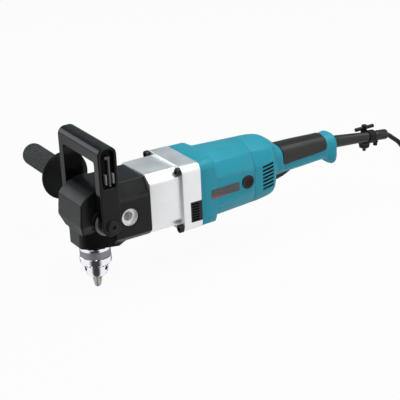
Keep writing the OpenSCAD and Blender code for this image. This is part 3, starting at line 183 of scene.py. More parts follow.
def make_metals():
    surface("black_casting", (0.0065, 0.0068, 0.0073), (0.0115, 0.012, 0.0125), (0.26, 0.36),
            grain=700, bump=0.25, depth=0.08, specular=0.2)
    surface("silver_casting", (0.84, 0.85, 0.86), (0.9, 0.91, 0.92), (0.36, 0.48),
            grain=1600, bump=0.3, metal=0.8)
    surface("grey_casting", (0.2, 0.2, 0.2), (0.27, 0.27, 0.27), (0.4, 0.55), bump=0.2, metal=0.3)
    surface("bright_metal", (0.78, 0.78, 0.78), (0.88, 0.88, 0.87), (0.22, 0.34),
            depth=0.03, metal=0.45, stretch=(1, 6, 1))
    surface("steel", (0.42, 0.42, 0.43), (0.54, 0.54, 0.55), (0.24, 0.36), grain=700, depth=0.03, metal=1)
    surface("key_steel", (0.07, 0.07, 0.072), (0.11, 0.11, 0.112), (0.3, 0.42),
            grain=600, depth=0.04, metal=0.7)
    surface("dark_steel", (0.008, 0.008, 0.0085), (0.016, 0.0156, 0.015), (0.26, 0.4),
            grain=600, bump=0.15, metal=0.2, specular=0.3)
    surface("jaw_steel", (0.62, 0.58, 0.54), (0.74, 0.7, 0.65), (0.34, 0.5),
            grain=500, bump=0.2, metal=0.4)
    surface("chrome", (0.84, 0.84, 0.88), (0.9, 0.9, 0.94), (0.06, 0.13),
            grain=400, bump=0.05, depth=0.02, metal=1)
    surface("satin_steel", (0.33, 0.31, 0.34), (0.41, 0.39, 0.42), (0.42, 0.54),
            bump=0.15, depth=0.03, metal=0.35, stretch=(1, 1, 9))
    surface("copper", (0.5, 0.2, 0.09), (0.66, 0.3, 0.15), (0.3, 0.45),
            bump=0.3, depth=0.1, metal=0.9, stretch=(1, 8, 8))
    surface("brass", (0.62, 0.45, 0.18), (0.75, 0.57, 0.26), (0.2, 0.32), grain=600, depth=0.03, metal=1)


def make_plastics_and_carbon():
    surface("teal_plastic", (0.03, 0.355, 0.465), (0.034, 0.375, 0.49), (0.3, 0.4),
            grain=1300, bump=0.12, depth=0.04, specular=0.22)
    surface("black_plastic", (0.006, 0.006, 0.0065), (0.011, 0.011, 0.0115), (0.26, 0.38),
            grain=800, bump=0.12, depth=0.06, specular=0.3)
    surface("gloss_black", (0.004, 0.0043, 0.005), (0.008, 0.0084, 0.009), (0.13, 0.2),
            grain=500, specular=0.2)
    # painted shade: near-black matte sheets set in the vents, key holes, tooth gaps and the hex key's
    # pocket
    surface("painted_shade_black", (0.003, 0.003, 0.003), (0.005, 0.005, 0.005), (0.6, 0.75),
            grain=800, specular=0.15)
    surface("brown_plastic", (0.02, 0.01, 0.008), (0.034, 0.016, 0.012), (0.35, 0.5),
            grain=800, bump=0.15, specular=0.2)
    surface("carbon", (0.02, 0.02, 0.02), (0.035, 0.035, 0.035), (0.55, 0.7), bump=0.3, depth=0.06)
    surface("grey_plate", (0.05, 0.05, 0.053), (0.075, 0.075, 0.079), (0.3, 0.4), depth=0.03, coat=0.1)


def make_rubbers():
    surface("rubber", (0.008, 0.0076, 0.0074), (0.015, 0.0143, 0.014), (0.3, 0.42),
            grain=1800, bump=0.3, depth=0.06, specular=0.42)
    surface("dull_rubber", (0.005, 0.005, 0.0048), (0.009, 0.009, 0.0086), (0.42, 0.55),
            grain=1500, bump=0.3, depth=0.06, specular=0.2)
    surface("cord_rubber", (0.008, 0.008, 0.008), (0.014, 0.014, 0.014), (0.4, 0.55),
            grain=500, bump=0.2, specular=0.22)
    surface("knurled_rubber", (0.014, 0.014, 0.014), (0.024, 0.024, 0.024), (0.42, 0.55),
            grain=1200, bump=0.2, specular=0.4)


def add_knurl(mat, pitch, around, depth):
    """Crossed grooves along and round the side handle, in relief, darkened in the grooves with painted
    shade.
    """
    groove_shade, ridge = (0.001, 0.001, 0.001), (0.06, 0.063, 0.064)
    tree = mat.node_tree
    sockets = tree.nodes["Principled BSDF"].inputs
    centre = (SIDE_X * MM, 0, SIDE_Z * MM)
    x, y, z = split_xyz(tree, vector_calc(tree, "SUBTRACT", object_coords(tree), centre))
    rings = calc(tree, "SINE", calc(tree, "MULTIPLY", y, 2 * pi / (pitch * MM)))
    flutes = calc(tree, "SINE", calc(tree, "MULTIPLY", calc(tree, "ARCTAN2", z, x), around))
    grid = calc(tree, "MINIMUM", rings, flutes)
    grain = sockets["Normal"].links[0].from_socket
    feed(tree, sockets["Normal"], relief(tree, grid, 0.9, depth, grain))
    # painted shade: the colour runs from near black in the grooves to the ridges' tone
    shade = span(tree, grid, 0, 1, -0.9, 0.3)
    feed(tree, sockets["Base Color"], ramp(tree, shade, groove_shade, ridge, (0.2, 0.8)))


def add_red_wedge(mat):
    """A red wedge along the lower edge of the name plate, by its place on the housing."""
    fall, tip_x, tip_z = 0.14, 169.5, AXIS - 4.2
    tree = mat.node_tree
    colour = tree.nodes["Principled BSDF"].inputs["Base Color"]
    x, _, z = split_xyz(tree, object_coords(tree))
    edge = calc(tree, "MULTIPLY_ADD", x, -fall, (tip_z + fall * tip_x) * MM)
    mix = tree.nodes.new("ShaderNodeMix")
    mix.data_type = "RGBA"
    feed(tree, mix.inputs["Factor"], calc(tree, "GREATER_THAN", edge, z))
    feed(tree, mix.inputs["A"], colour.links[0].from_socket)
    feed(tree, mix.inputs["B"], (0.33, 0.045, 0.04, 1))
    feed(tree, colour, mix.outputs["Result"])


def make_materials():
    make_metals()
    make_plastics_and_carbon()
    make_rubbers()
    add_knurl(mats["knurled_rubber"], pitch=4.4, around=26, depth=0.8)
    add_red_wedge(mats["grey_plate"])


# Meshes
def to_mesh(bm):
    mesh = bpy.data.meshes.new("part")
    bm.to_mesh(mesh)
    bm.free()
    return mesh


def solid(bm):
    """A mesh in metres from a bmesh drawn in millimetres, with its faces turned outwards."""
    bmesh.ops.remove_doubles(bm, verts=bm.verts, dist=0.005)
    bmesh.ops.recalc_face_normals(bm, faces=bm.faces)
    bmesh.ops.scale(bm, vec=(MM, MM, MM), verts=bm.verts)
    return to_mesh(bm)


def joined(meshes):
    """Several meshes as one."""
    bm = bmesh.new()
    for mesh in meshes:
        bm.from_mesh(mesh)
    return to_mesh(bm)


def node_mesh(*names):
    """A merged copy of CAD nodes."""
    bm = bmesh.new()
    for name in names:
        bm.from_mesh(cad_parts[name].data)
    bmesh.ops.remove_doubles(bm, verts=bm.verts, dist=2e-6)
    return to_mesh(bm)


def half_of(mesh, side, axis=(0, 1, 0), at=(0, 0, 0)):
    """The part of a mesh on one side of a plane, closed there."""
    bm = bmesh.new()
    bm.from_mesh(mesh)
    geom = list(bm.verts) + list(bm.edges) + list(bm.faces)
    cut = bmesh.ops.bisect_plane(bm, geom=geom, plane_co=at, plane_no=axis, clear_outer=side < 0,
                                 clear_inner=side > 0)
    edges = [e for e in cut["geom_cut"] if isinstance(e, bmesh.types.BMEdge)]
    bmesh.ops.holes_fill(bm, edges=edges, sides=0)
    return to_mesh(bm)


def scratch(mesh):
    obj = bpy.data.objects.new("scratch", mesh)
    scene.collection.objects.link(obj)
    return obj


def baked(obj):
    """The mesh of an object with its modifiers applied; the object goes."""
    bpy.context.view_layer.update()
    graph = bpy.context.evaluated_depsgraph_get()
    mesh = bpy.data.meshes.new_from_object(obj.evaluated_get(graph))
    bpy.data.objects.remove(obj)
    return mesh


def carve(mesh, tools, operation="DIFFERENCE"):
    obj = scratch(mesh)
    others = [scratch(tool) for tool in tools]
    for other in others:
        cut = obj.modifiers.new("cut", "BOOLEAN")
        cut.operation = operation
        cut.solver = "EXACT"
        cut.object = other
    done = baked(obj)
    for other in others:
        bpy.data.objects.remove(other)
    return done


def soften(mesh, voxel, rounds):
    """One skin with worn edges, as a cast or moulded part has."""
    obj = scratch(mesh)
    skin = obj.modifiers.new("skin", "REMESH")
    skin.mode = "VOXEL"
    skin.voxel_size = voxel * MM
    relax = obj.modifiers.new("relax", "SMOOTH")
    relax.factor = 0.5
    relax.iterations = rounds
    return baked(obj)


def piece(name, mesh, material, nodes=(), body="housing", sharp=35):
    mesh.name = name
    mesh.materials.clear()
    mesh.materials.append(mats[material])
    mesh.shade_smooth()
    if sharp:
        mesh.set_sharp_from_angle(angle=radians(sharp))
    obj = bpy.data.objects.new(name, mesh)
    scene.collection.objects.link(obj)
    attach(obj, body)
    if nodes:
        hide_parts(*nodes)
    return obj


# Shapes, drawn in millimetres
def box(x0, x1, y0, y1, z0, z1):
    bm = bmesh.new()
    bmesh.ops.create_cube(bm, size=1)
    bmesh.ops.scale(bm, vec=(x1 - x0, y1 - y0, z1 - z0), verts=bm.verts)
    bmesh.ops.translate(bm, vec=((x0 + x1) / 2, (y0 + y1) / 2, (z0 + z1) / 2), verts=bm.verts)
    return bm


def rod(start, end, r, sides=48):
    start, end = Vector(start), Vector(end)
    length = (end - start).length
    bm = bmesh.new()
    bmesh.ops.create_cone(bm, cap_ends=True, segments=sides, radius1=r, radius2=r, depth=length)
    turn = (end - start).to_track_quat("Z", "Y").to_matrix().to_4x4()
    bmesh.ops.transform(bm, matrix=Matrix.Translation((start + end) / 2) @ turn, verts=bm.verts)
    return bm


def spun(profile, place=(0, 0, 0), turn=None):
    """A profile of (radius, height) turned about Z, then laid on another axis and moved."""
    bm = bmesh.new()
    verts = [bm.verts.new((r, 0, h)) for r, h in profile]
    edges = [bm.edges.new(pair) for pair in zip(verts, verts[1:])]
    bmesh.ops.spin(bm, geom=verts + edges, cent=(0, 0, 0), axis=(0, 0, 1), angle=2 * pi, steps=96,
                   use_merge=True)
    bmesh.ops.remove_doubles(bm, verts=bm.verts, dist=0.001)
    if turn:
        bmesh.ops.rotate(bm, cent=(0, 0, 0), matrix=turn, verts=bm.verts)
    bmesh.ops.translate(bm, vec=place, verts=bm.verts)
    return bm


def facing(side):
    """The turn that lays a spun profile along Y, outwards on one side."""
    return Matrix.Rotation(radians(-90 * side), 3, "X")


def between(side, near, far):
    """The stretch of Y between two distances on one side, low end first."""
    return sorted((side * near, side * far))


def round_corners(bm, verts, r, segments):
    bmesh.ops.bevel(bm, geom=verts, affect="VERTICES", offset=r, segments=segments, profile=0.5,
                    material=-1, clamp_overlap=True)


def outline(spots, radii, segments=5):
    """A closed wire loop through a few points, each corner rounded by its own radius."""
    bm = bmesh.new()
    verts = [bm.verts.new(p) for p in spots]
    for pair in zip(verts, verts[1:] + verts[:1]):
        bm.edges.new(pair)
    for r in sorted(set(radii) - {0}):
        round_corners(bm, [v for v, own in zip(verts, radii) if own == r], r, segments)
    return bm


def drawn(points, radii, low, high, axis, segments=5):
    """A rounded outline drawn out along an axis: (y, z) along x, or (x, z) along y."""
    bm = outline([(low, *p) if axis == "x" else (p[0], low, p[1]) for p in points], radii, segments)
    face = bmesh.ops.contextual_create(bm, geom=list(bm.edges))["faces"]
    new = bmesh.ops.extrude_face_region(bm, geom=face)["geom"]
    shift = (high - low, 0, 0) if axis == "x" else (0, high - low, 0)
    bmesh.ops.translate(bm, vec=shift, verts=[g for g in new if isinstance(g, bmesh.types.BMVert)])
    bmesh.ops.recalc_face_normals(bm, faces=bm.faces)
    return bm


def bevelled(bm, width, segments=3, least=30):
    """The shape with every edge sharper than the least angle rounded."""
    edges = [e for e in bm.edges if len(e.link_faces) == 2 and e.calc_face_angle() > radians(least)]
    bmesh.ops.bevel(bm, geom=edges, affect="EDGES", offset=width, segments=segments, profile=0.5,
                    material=-1, clamp_overlap=True)
    return bm


def section(x, half, low, high, top_r, low_r, soft):
    """One section across X: large upper and lower corners with a softened crease in each."""
    corners = ((-half, low), (half, low), (half, high), (-half, high))
    bm = outline([(x, y, AXIS + z) for y, z in corners], (low_r, low_r, top_r, top_r), 2)
    round_corners(bm, list(bm.verts), soft, 3)
    return to_mesh(bm)


def loft(stations):
    """A closed body through sections along X."""
    bm = bmesh.new()
    last = []
    for station in stations:
        count = len(bm.edges)
        bm.from_mesh(section(*station))
        bm.edges.ensure_lookup_table()
        edges = bm.edges[count:]
        if last:
            bmesh.ops.bridge_loops(bm, edges=last + edges)
        last = edges
    bmesh.ops.holes_fill(bm, edges=[e for e in bm.edges if e.is_boundary], sides=0)
    bmesh.ops.recalc_face_normals(bm, faces=bm.faces)
    return bm


def slope_at(p, q, rate, j):
    """The slope of value j where a neighbouring stretch from p to q meets one of the given rate."""
    other = (q[j] - p[j]) / (q[0] - p[0]) if q[0] != p[0] else rate
    return 0 if other * rate <= 0 else 2 * other * rate / (other + rate)


def smooth_stations(keys, step=1.6):
    """Sections along X through the key sections, on a smooth curve that doesn't overshoot."""
    out = []
    for i in range(len(keys) - 1):
        a, b = keys[i], keys[i + 1]
        before, after = keys[max(i - 1, 0)], keys[min(i + 2, len(keys) - 1)]
        d = b[0] - a[0]
        count = max(1, round(d / step))
        for k in range(count):
            t = k / count
            h00, h10 = 2 * t ** 3 - 3 * t ** 2 + 1, t ** 3 - 2 * t ** 2 + t
            h01, h11 = -2 * t ** 3 + 3 * t ** 2, t ** 3 - t ** 2
            row = [a[0] + d * t]
            for j in range(1, len(a)):
                rate = (b[j] - a[j]) / d
                first, second = slope_at(before, a, rate, j), slope_at(b, after, rate, j)
                row.append(h00 * a[j] + h10 * d * first + h01 * b[j] + h11 * d * second)
            out.append(tuple(row))
    out.append(tuple(keys[-1]))
    return out


# Cord: from the guard's tip to the surface, round its coil and on to the plug
CORD_DROP = [
    (540.5, 0, 105.3), (547.5, 0, 99.8), (554, 0, 94.9), (560.5, 0, 89.6), (567, 0, 82), (573, 0, 73),
    (579, 0, 62.5), (585, 0, 51), (591.5, 0, 39.5), (599, 0, 28.5), (608, 0, 19), (619, 0, 11.5),
    (631, 0, 6.6), (643, 0, 5.05),
]
CORD_TAIL = [
    (645, -98, 29.35), (635, -99.5, 28.6), (625, -101.5, 26.5), (615, -104, 23), (605, -106, 19),
    (595, -107.3, 15.7), (587, -108, 13.6), (581, -108, 13), (576, -108, 13),
]
COIL_X, COIL_R, COIL_LOW = 660, 49, 5.05
COIL_TURNS, COIL_LAYERS, COIL_STEP = 8.5, 4, 8.1


def coil_points():
    """Turns that wind in and out by layers, each layer one step above the last."""
    layer = COIL_TURNS / COIL_LAYERS
    points = []
    for i in range(int(COIL_TURNS * 24) + 1):
        t = i / 24
        level = min(COIL_LAYERS - 1, int(t / layer))
        part = t - level * layer
        r = COIL_R - COIL_STEP * (part if level % 2 == 0 else layer - part)
        z = COIL_LOW
        for k in range(1, COIL_LAYERS):
            u = min(1, max(0, (t - k * layer) * 2 + 0.5))
            z += COIL_STEP * u * u * (3 - 2 * u)
        points.append((COIL_X + r * sin(2 * pi * t), -COIL_R + r * cos(2 * pi * t), z))
    return points


def cord_points():
    droop = radians(GUARD_DROOP)
    tip = (HANDLE_END + GUARD_LEN * cos(droop), 0, GUARD_Z - GUARD_LEN * sin(droop))
    coil = coil_points()
    lead_in, lead_out = [(x - 7.5, y, z) for x, y, z in (coil[0], coil[-1])]
    return [Vector(p) * MM for p in [tip, *CORD_DROP, lead_in, *coil, lead_out, *CORD_TAIL]]


def add_cord():
    points = cord_points()
    curve = bpy.data.curves.new("cord_run", "CURVE")
    curve.dimensions = "3D"
    curve.bevel_depth = CORD_R * MM
    curve.bevel_resolution = 3
    curve.resolution_u = 4
    spline = curve.splines.new("BEZIER")
    spline.bezier_points.add(len(points) - 1)
    for spot, p in zip(spline.bezier_points, points):
        spot.co = p
        spot.handle_left_type = spot.handle_right_type = "AUTO"
    curve.materials.append(mats["cord_rubber"])
    obj = bpy.data.objects.new("cord_run", curve)
    scene.collection.objects.link(obj)
    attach(obj, "housing")
    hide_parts("cord", "cord_coil")
    shell = soften(node_mesh("plug_body"), 0.6, 4)
    plug = piece("plug_shell", shell, "cord_rubber", ["plug_body"], sharp=0)


# Head, gear housing and motor housing
def add_head():
    skin = soften(node_mesh("head_casting", "head_cover"), 0.9, 11)
    for name, side, node in (
        ("head_lower_shell", -1, "head_casting"),
        ("head_upper_shell", 1, "head_cover"),
    ):
        part = half_of(skin, side, (0, 0, 1), (0, 0, COVER_LOW * MM))
        piece(name, part, "black_casting", [node], sharp=0)


def add_gear_housing():
    low, high, half = AXIS - 41.5, AXIS + 47.4, 44.4
    crease, wall = AXIS + 34, FLANGE_HALF
    octagon = [(-half, low + 13), (9 - half, low), (half - 9, low), (half, low + 13),
               (half, high - 11.4), (half - 13, high), (13 - half, high), (-half, high - 11.4)]
    front = bevelled(drawn(octagon, [2.5] * 8, 71, FLANGE_X + 2, "x", 3), 0.8, 2, 60)
    square = [(-wall, AXIS - wall), (wall, AXIS - wall), (wall, AXIS + wall), (-wall, AXIS + wall)]
    flange = bevelled(drawn(square, [11] * 4, FLANGE_X, FLANGE_END, "x", 8), 0.8, 3, 60)
    body = carve(solid(front), [solid(flange)], "UNION")
    cuts = [rod((110, y, z), (FLANGE_X, y, z), 6.3) for y, z in FLANGE_SCREWS]
    cuts += [box(70, FLANGE_X - 0.4, *between(s, 44, 45), crease - 0.3, crease + 0.3) for s in SIDES]
    cuts += [box(132.8, FLANGE_END + 1, *between(s, 20, 51), AXIS - 36.7, AXIS - 5.3) for s in SIDES]
    cuts.append(rod((131, 0, AXIS), (FLANGE_END + 1, 0, AXIS), 43))
    shell = carve(body, [solid(cut) for cut in cuts])
    piece("gear_housing_shell", shell, "silver_casting", ["gear_housing"])


def add_housing_screws():
    """Socket heads on the flange's front; the threads stay inside."""
    heads = []
    for y, z in FLANGE_SCREWS:
        head = solid(bevelled(rod((114.6, y, z), (FLANGE_X, y, z), 6.1), 0.7, 3, 60))
        heads.append(carve(head, [solid(rod((113, y, z), (117.8, y, z), 3.2, 6))]))
    piece("housing_screw_heads", joined(heads), "dark_steel", ["housing_screws"])


# Motor housing: a collar as square as the flange, then creased corners that draw in to the seam.
# Each section: x, half width, bottom and top from the axis, upper and lower corner, softness of creases
MOTOR_KEYS = [
    (152, 50.1, -50.1, 50.1, 11, 11, 2.5),
    (152.5, 50.5, -50.5, 50.5, 11, 11, 2.5),
    (176.4, 49.2, -50.5, 50.8, 11, 11, 2.5),
    (177.8, 48.8, -49.8, 50.8, 12.5, 12.5, 2.5),
    (180.2, 48.9, -46.2, 51, 30, 22, 2.5),
    (248.2, 44.8, -44.2, 50.2, 32, 22, 2.5),
    (248.9, 44.2, -43.6, 49.6, 31.5, 21.5, 2.5),
]


def add_motor_housing():
    shell = solid(loft(MOTOR_KEYS))
    profile = [(0, 20), (11.2, 20), (11.2, 45.3), (10.9, 45.8), (10.4, 46), (0, 46)]
    for side in SIDES:
        boss = spun(profile, (BRUSH_X, 0, AXIS), facing(side))
        shell = carve(shell, [solid(boss)], "UNION")
    piece("motor_shell", shell, "teal_plastic", ["motor_housing"], sharp=50)


def add_brush_caps():
    place = (BRUSH_X, 0, AXIS)
    rim = [(5.8, 40), (9, 40), (9, 46), (10.2, 46), (10.5, 46.3), (10.5, 47), (9.9, 47.5), (6.8, 47.6),
           (6.1, 47.3), (5.8, 46.6), (5.8, 40)]
    centre = [(0, 40), (5.8, 40), (5.8, 46.5), (5.4, 46.8), (0, 46.8)]
    rims, centres = [], []
    for side in SIDES:
        rims.append(solid(spun(rim, place, facing(side))))
        notch = box(BRUSH_X - 4.6, BRUSH_X + 4.6, *between(side, 46.1, 48), AXIS - 1.1, AXIS + 1.1)
        centres.append(carve(solid(spun(centre, place, facing(side))), [solid(notch)]))
    piece("brush_cap_rims", joined(rims), "black_plastic", ["brush_caps"])
    piece("brush_cap_centres", joined(centres), "brown_plastic")


# Rear housing, handle and grip, in sections like the motor housing's
REAR_KEYS = [
    (249.1, 44.2, -43.6, 49.6, 31.5, 21.5, 2.5),
    (249.8, 44.7, -44.1, 50.1, 32, 22, 2.5),
    (270, 43.4, -43, 49.4, 31, 22, 4),
    (286, 41.4, -40.8, 47.6, 30, 22, 6),
    (291.6, 37.6, -37, 45.8, 28, 20, 7),
    (295.7, 31.6, -31.2, 43.4, 25, 18, 7.5),
    (300, 26, -24.8, 40.2, 21, 15, 7),
    (304.7, 23.3, -20.8, 36.4, 18, 14, 6),
    (310.6, 22.8, -19.6, 30.6, 16, 14, 5.5),
    (314.3, 22.7, -19.5, 27, 15.5, 14, 5.5),
    (318, 21.3, -19.3, 25.8, 15, 14, 5.5),
    (352.8, 20.5, -18.5, 25, 15, 14, 5.5),
    (404, 19.6, -16.7, 23.1, 15, 14, 5.5),
    (407.5, 20.4, -19.5, 23.4, 15, 13.5, 5),
    (411, 21.4, -24.1, 23.7, 15, 13, 5),
    (415, 21.8, -26.5, 23.8, 14, 12.5, 4.5),
    (418, 21.2, -26.1, 23.1, 13, 12, 4.5),
    (HANDLE_END, 19.5, -23.9, 20.6, 11, 11, 4),
]
VENT_COUNT, VENT_PITCH, VENT_LOW = 7, 5.75, AXIS - 20.25
VENT_X, VENT_END = 263.5, 285
HANDLE_SCREWS = [(x, AXIS + z) for x, z in ((272, 33), (272, -31), (374, 13), (414, -14))]


def rear_body(grow=0, start=0, stop=500):
    """The rear housing, or a stretch of it, made larger all round."""
    keys = [(x, half + grow, low - grow, high + grow, top + grow / 2, bottom + grow / 2, soft)
            for x, half, low, high, top, bottom, soft in REAR_KEYS if start < x < stop]
    return solid(loft(smooth_stations(keys)))


def add_rear():
    cuts = []
    for side in SIDES:
        for k in range(VENT_COUNT):
            z = VENT_LOW + VENT_PITCH * k
            slot = [(VENT_X, z - 1.9), (VENT_END, z + 0.5), (VENT_END, z + 4.3), (VENT_X, z + 1.9)]
            cuts.append(drawn(slot, [1.4] * 4, *between(side, 34, 47), "y", 3))
    cuts.append(box(310.5, 349, -6.8, 6.8, 70, 108))
    cuts += [rod((x, 12, z), (x, 60, z), 4.55) for x, z in HANDLE_SCREWS]
    shell = carve(rear_body(), [solid(cut) for cut in cuts])
    for name, side, node in (
        ("rear_shell_left", -1, "handle_left"),
        ("rear_shell_right", 1, "handle_right"),
    ):
        piece(name, half_of(shell, side), "teal_plastic", [node], sharp=50)


def add_vent_shade_linings():
    """Near-black sheets inside the vent slots: painted shade in the slots."""
    linings = []
    for side in SIDES:
        block = box(VENT_X - 2.5, VENT_END + 2, *between(side, 33, 47), AXIS - 25, AXIS + 21)
        linings.append(carve(solid(block), [rear_body(-1.1)], "INTERSECT"))
    piece("vent_shade_linings", joined(linings), "painted_shade_black")


def add_grip():
    region = [(317, AXIS + 44), (317, AXIS - 1), (397, AXIS + 3), (401, AXIS + 8), (401, AXIS + 44)]
    plan = solid(drawn(region, [2, 4, 6, 3, 2], -40, 40, "y", 5))
    wrap = carve(rear_body(1.6, 290, 410), [plan], "INTERSECT")
    grip = carve(wrap, [rear_body(-1.2)])
    piece("grip_sleeve", soften(grip, 0.55, 4), "rubber", ["handle_grip"], sharp=0)


# Chuck: heights from the jaws' tips, and angles of the jaws round the spindle
JAW_TURNS = [radians(119 + 120 * k) for k in range(3)]
JAW_LEAN, JAW_FOOT = radians(15), 1.5
KEY_HOLE_Z = 30.7
CHUCK_R, CHUCK_TOP = 22.4, 68
NOSE_TOP, BAND_TOP = 43, 60.6
TOOTH_COUNT, TOOTH_Z = 28, 37.5


def jaw_bores():
    bores = []
    for a in JAW_TURNS:
        foot = Vector((JAW_FOOT * cos(a), JAW_FOOT * sin(a), 0))
        lean = Vector((cos(a) * sin(JAW_LEAN), sin(a) * sin(JAW_LEAN), cos(JAW_LEAN)))
        bores.append(solid(rod(foot - lean * 2, foot + lean * 67.5, 3.4, 24)))
    return bores


def key_holes(near, far, r):
    """Rods on the key holes' axes, midway between the jaws."""
    holes = []
    for a in JAW_TURNS:
        x, y = cos(a + pi / 3), sin(a + pi / 3)
        holes.append(solid(rod((near * x, near * y, KEY_HOLE_Z), (far * x, far * y, KEY_HOLE_Z), r, 24)))
    return holes


def add_chuck_body():
    upper = [(0, NOSE_TOP), (21.6, NOSE_TOP), (21.6, 49.8), (22, 49.8), (CHUCK_R, 50.4),
             (CHUCK_R, BAND_TOP), (0, BAND_TOP)]
    shoulder = [(0, BAND_TOP), (CHUCK_R, BAND_TOP), (CHUCK_R, 63.6), (22.1, 64.6), (19.9, 67.6),
                (19.2, CHUCK_TOP), (0, CHUCK_TOP)]
    nose = [(0, 18.5), (11.6, 18.5), (12.8, 18.9), (14.6, 20.6), (16, 23.6), (16.7, 27), (17, 30.5),
            (17, 37.2), (15, 37.2), (15, NOSE_TOP), (0, NOSE_TOP)]
    for name, profile, material, holes in (
        ("chuck_upper_body", upper, "satin_steel", []),
        ("chuck_shoulder", shoulder, "chrome", []),
        ("chuck_nose", nose, "chrome", key_holes(9, 22, 3.1)),
    ):
        body = carve(solid(spun(profile)), holes + jaw_bores())
        piece(name, body, material, ["chuck_body"], "spindle", 30)
    # painted shade: near-black plugs at the bottom of the key holes
    floors = joined(key_holes(12, 15.9, 3.05))
    piece("key_hole_shade_floors", floors, "painted_shade_black", (), "spindle", 30)


def add_chuck_sleeve():
    sleeve = [(17.1, 36.2), (19, 36), (19.7, 36.3), (22.7, 40), (23, 40.9), (23, 48), (22.8, 48.9),
              (22.2, 49.5), (21.9, 49.5), (21.9, 43.7), (19.4, 43.7), (19.4, 39), (17.1, 39),
              (17.1, 36.2)]
    # painted shade: a near-black ring behind the tooth gaps
    tooth_gap_shade = [(17.2, 36.35), (18.9, 36.35), (20.4, 38.9), (17.2, 38.9), (17.2, 36.35)]
    gaps = []
    for k in range(TOOTH_COUNT):
        gap = rod((18.2, 0, TOOTH_Z), (24, 0, TOOTH_Z), 1.6, 12)
        turn = Matrix.Rotation(2 * pi * k / TOOTH_COUNT, 3, "Z")
        bmesh.ops.rotate(gap, cent=(0, 0, 0), matrix=turn, verts=gap.verts)
        gaps.append(solid(gap))
    piece("chuck_tooth_gap_shade", solid(spun(tooth_gap_shade)), "painted_shade_black", (), "sleeve", 30)
    collar = carve(solid(spun(sleeve)), gaps)
    piece("chuck_collar", collar, "chrome", ["chuck_sleeve"], "sleeve", 30)


# Handles on the head
def add_loop_handle():
    shell = soften(node_mesh("loop_handle"), 0.8, 9)
    piece("loop_shell", shell, "gloss_black", ["loop_handle"], "loop_handle", 0)


def add_pocket_shade_lining():
    """Near-black floor and walls in the hex key's pocket: painted shade in the pocket."""
    half, low, high = 10.1, 170.2, 226.3
    mouth, back, wall = -59.6, -53.35, 0.4
    arch = [(-half, low), (half, low), (half, high), (-half, high)]
    inner = [(x * 0.965, z + (wall if z == low else -wall)) for x, z in arch]
    block = solid(drawn(arch, [0.5, 0.5, 7.8, 7.8], mouth, back, "y", 6))
    room = solid(drawn(inner, [0.5, 0.5, 7.5, 7.5], mouth - 2, back - wall, "y", 6))
    lining = carve(block, [room])
    piece("hex_pocket_shade_lining", lining, "painted_shade_black", (), "loop_handle")


def add_key_clips():
    """Spring clips that hold the hex key."""
    clips = [solid(bevelled(box(x, x + 2.5, -60.1, -53.8, 176.5, 191), 0.4, 2)) for x in (-5.2, 6.3)]
    piece("hex_key_clips", joined(clips), "grey_casting", (), "loop_handle")


def add_bush_shadow_rim():
    """A black ring round the near bush's counterbore: painted shadow in the gap round the bush."""
    profile = [(12.6, 45.2), (12.6, 46.05), (12.9, 46.25), (14.2, 46.25), (14.6, 45.9), (14.6, 45.2),
               (12.6, 45.2)]
    rim = solid(spun(profile, (SIDE_X, 0, SIDE_Z), facing(-1)))
    piece("bush_shadow_rim", rim, "black_casting")


def add_pivot_bosses():
    """Machined faces of the bosses that the loop handle turns on."""
    profile = [(6, 44), (18.25, 44), (18.25, 45.6), (17.8, 46.1), (6, 46.1), (6, 44)]
    rings = [solid(spun(profile, (0, 0, PIVOT_Z), facing(side))) for side in SIDES]
    piece("pivot_boss_faces", joined(rings), "grey_casting")


def add_side_handle():
    place = (SIDE_X, 152, SIDE_Z)
    disc = [(6.1, 0), (14, 0), (30, 1), (36.2, 1.7), (38, 2.8), (38.5, 4), (38, 5.4), (36.2, 6.6),
            (28, 7.8), (20.5, 9), (6.1, 9), (6.1, 0)]
    grip = [(6.1, 9), (21, 9), (18.8, 11.5), (17.7, 15.5), (17.5, 18), (17.8, 40), (18, 70), (18, 114.6),
            (17.4, 118.4), (15.4, 121.4), (11.6, 123.4), (6, 124.3), (0, 124.5), (0, 56),
            (6.1, 56), (6.1, 9)]
    piece("side_guard_disc", solid(spun(disc, place, facing(1))), "dull_rubber")
    handle = solid(spun(grip, place, facing(1)))
    piece("side_grip", handle, "knurled_rubber", ["side_handle_grip"])


def add_cord_guard():
    profile = [(3.9, -12), (13, -12), (13, -6), (10, -6), (10, 0), (9.9, 6), (7.2, 94.6), (7.5, 95.2),
               (8.2, 95.8), (8.2, 112), (7.8, 113.4), (6.4, GUARD_LEN), (3.9, GUARD_LEN)]
    turn = Matrix.Rotation(radians(90 + GUARD_DROOP), 3, "Y")
    sleeve = solid(spun(profile, (HANDLE_END, 0, GUARD_Z), turn))
    piece("guard_sleeve", sleeve, "rubber", ["cord_guard"])


# Small parts that keep their CAD shape with softened edges.
# Each one: body, material, slot, voxel size, rounds of smoothing
SOFT_NODES = {
    "trigger": ("trigger", "black_plastic", "black_plastic", 0.45, 4),
    "key_holder": ("housing", "dull_rubber", "rubber", 0.45, 3),
    "chuck_key": ("housing", "dark_steel", "dark_steel", 0.4, 3),
    "loop_handle_bolts": ("housing", "dark_steel", "dark_steel", 0.35, 2),
    "hex_key": ("loop_handle", "key_steel", "steel", 0.3, 2),
}


def add_small_parts():
    for node, (body, material, slot, voxel, rounds) in SOFT_NODES.items():
        piece(f"{node}_soft", soften(node_mesh(node), voxel, rounds), material, [node], body, 0)


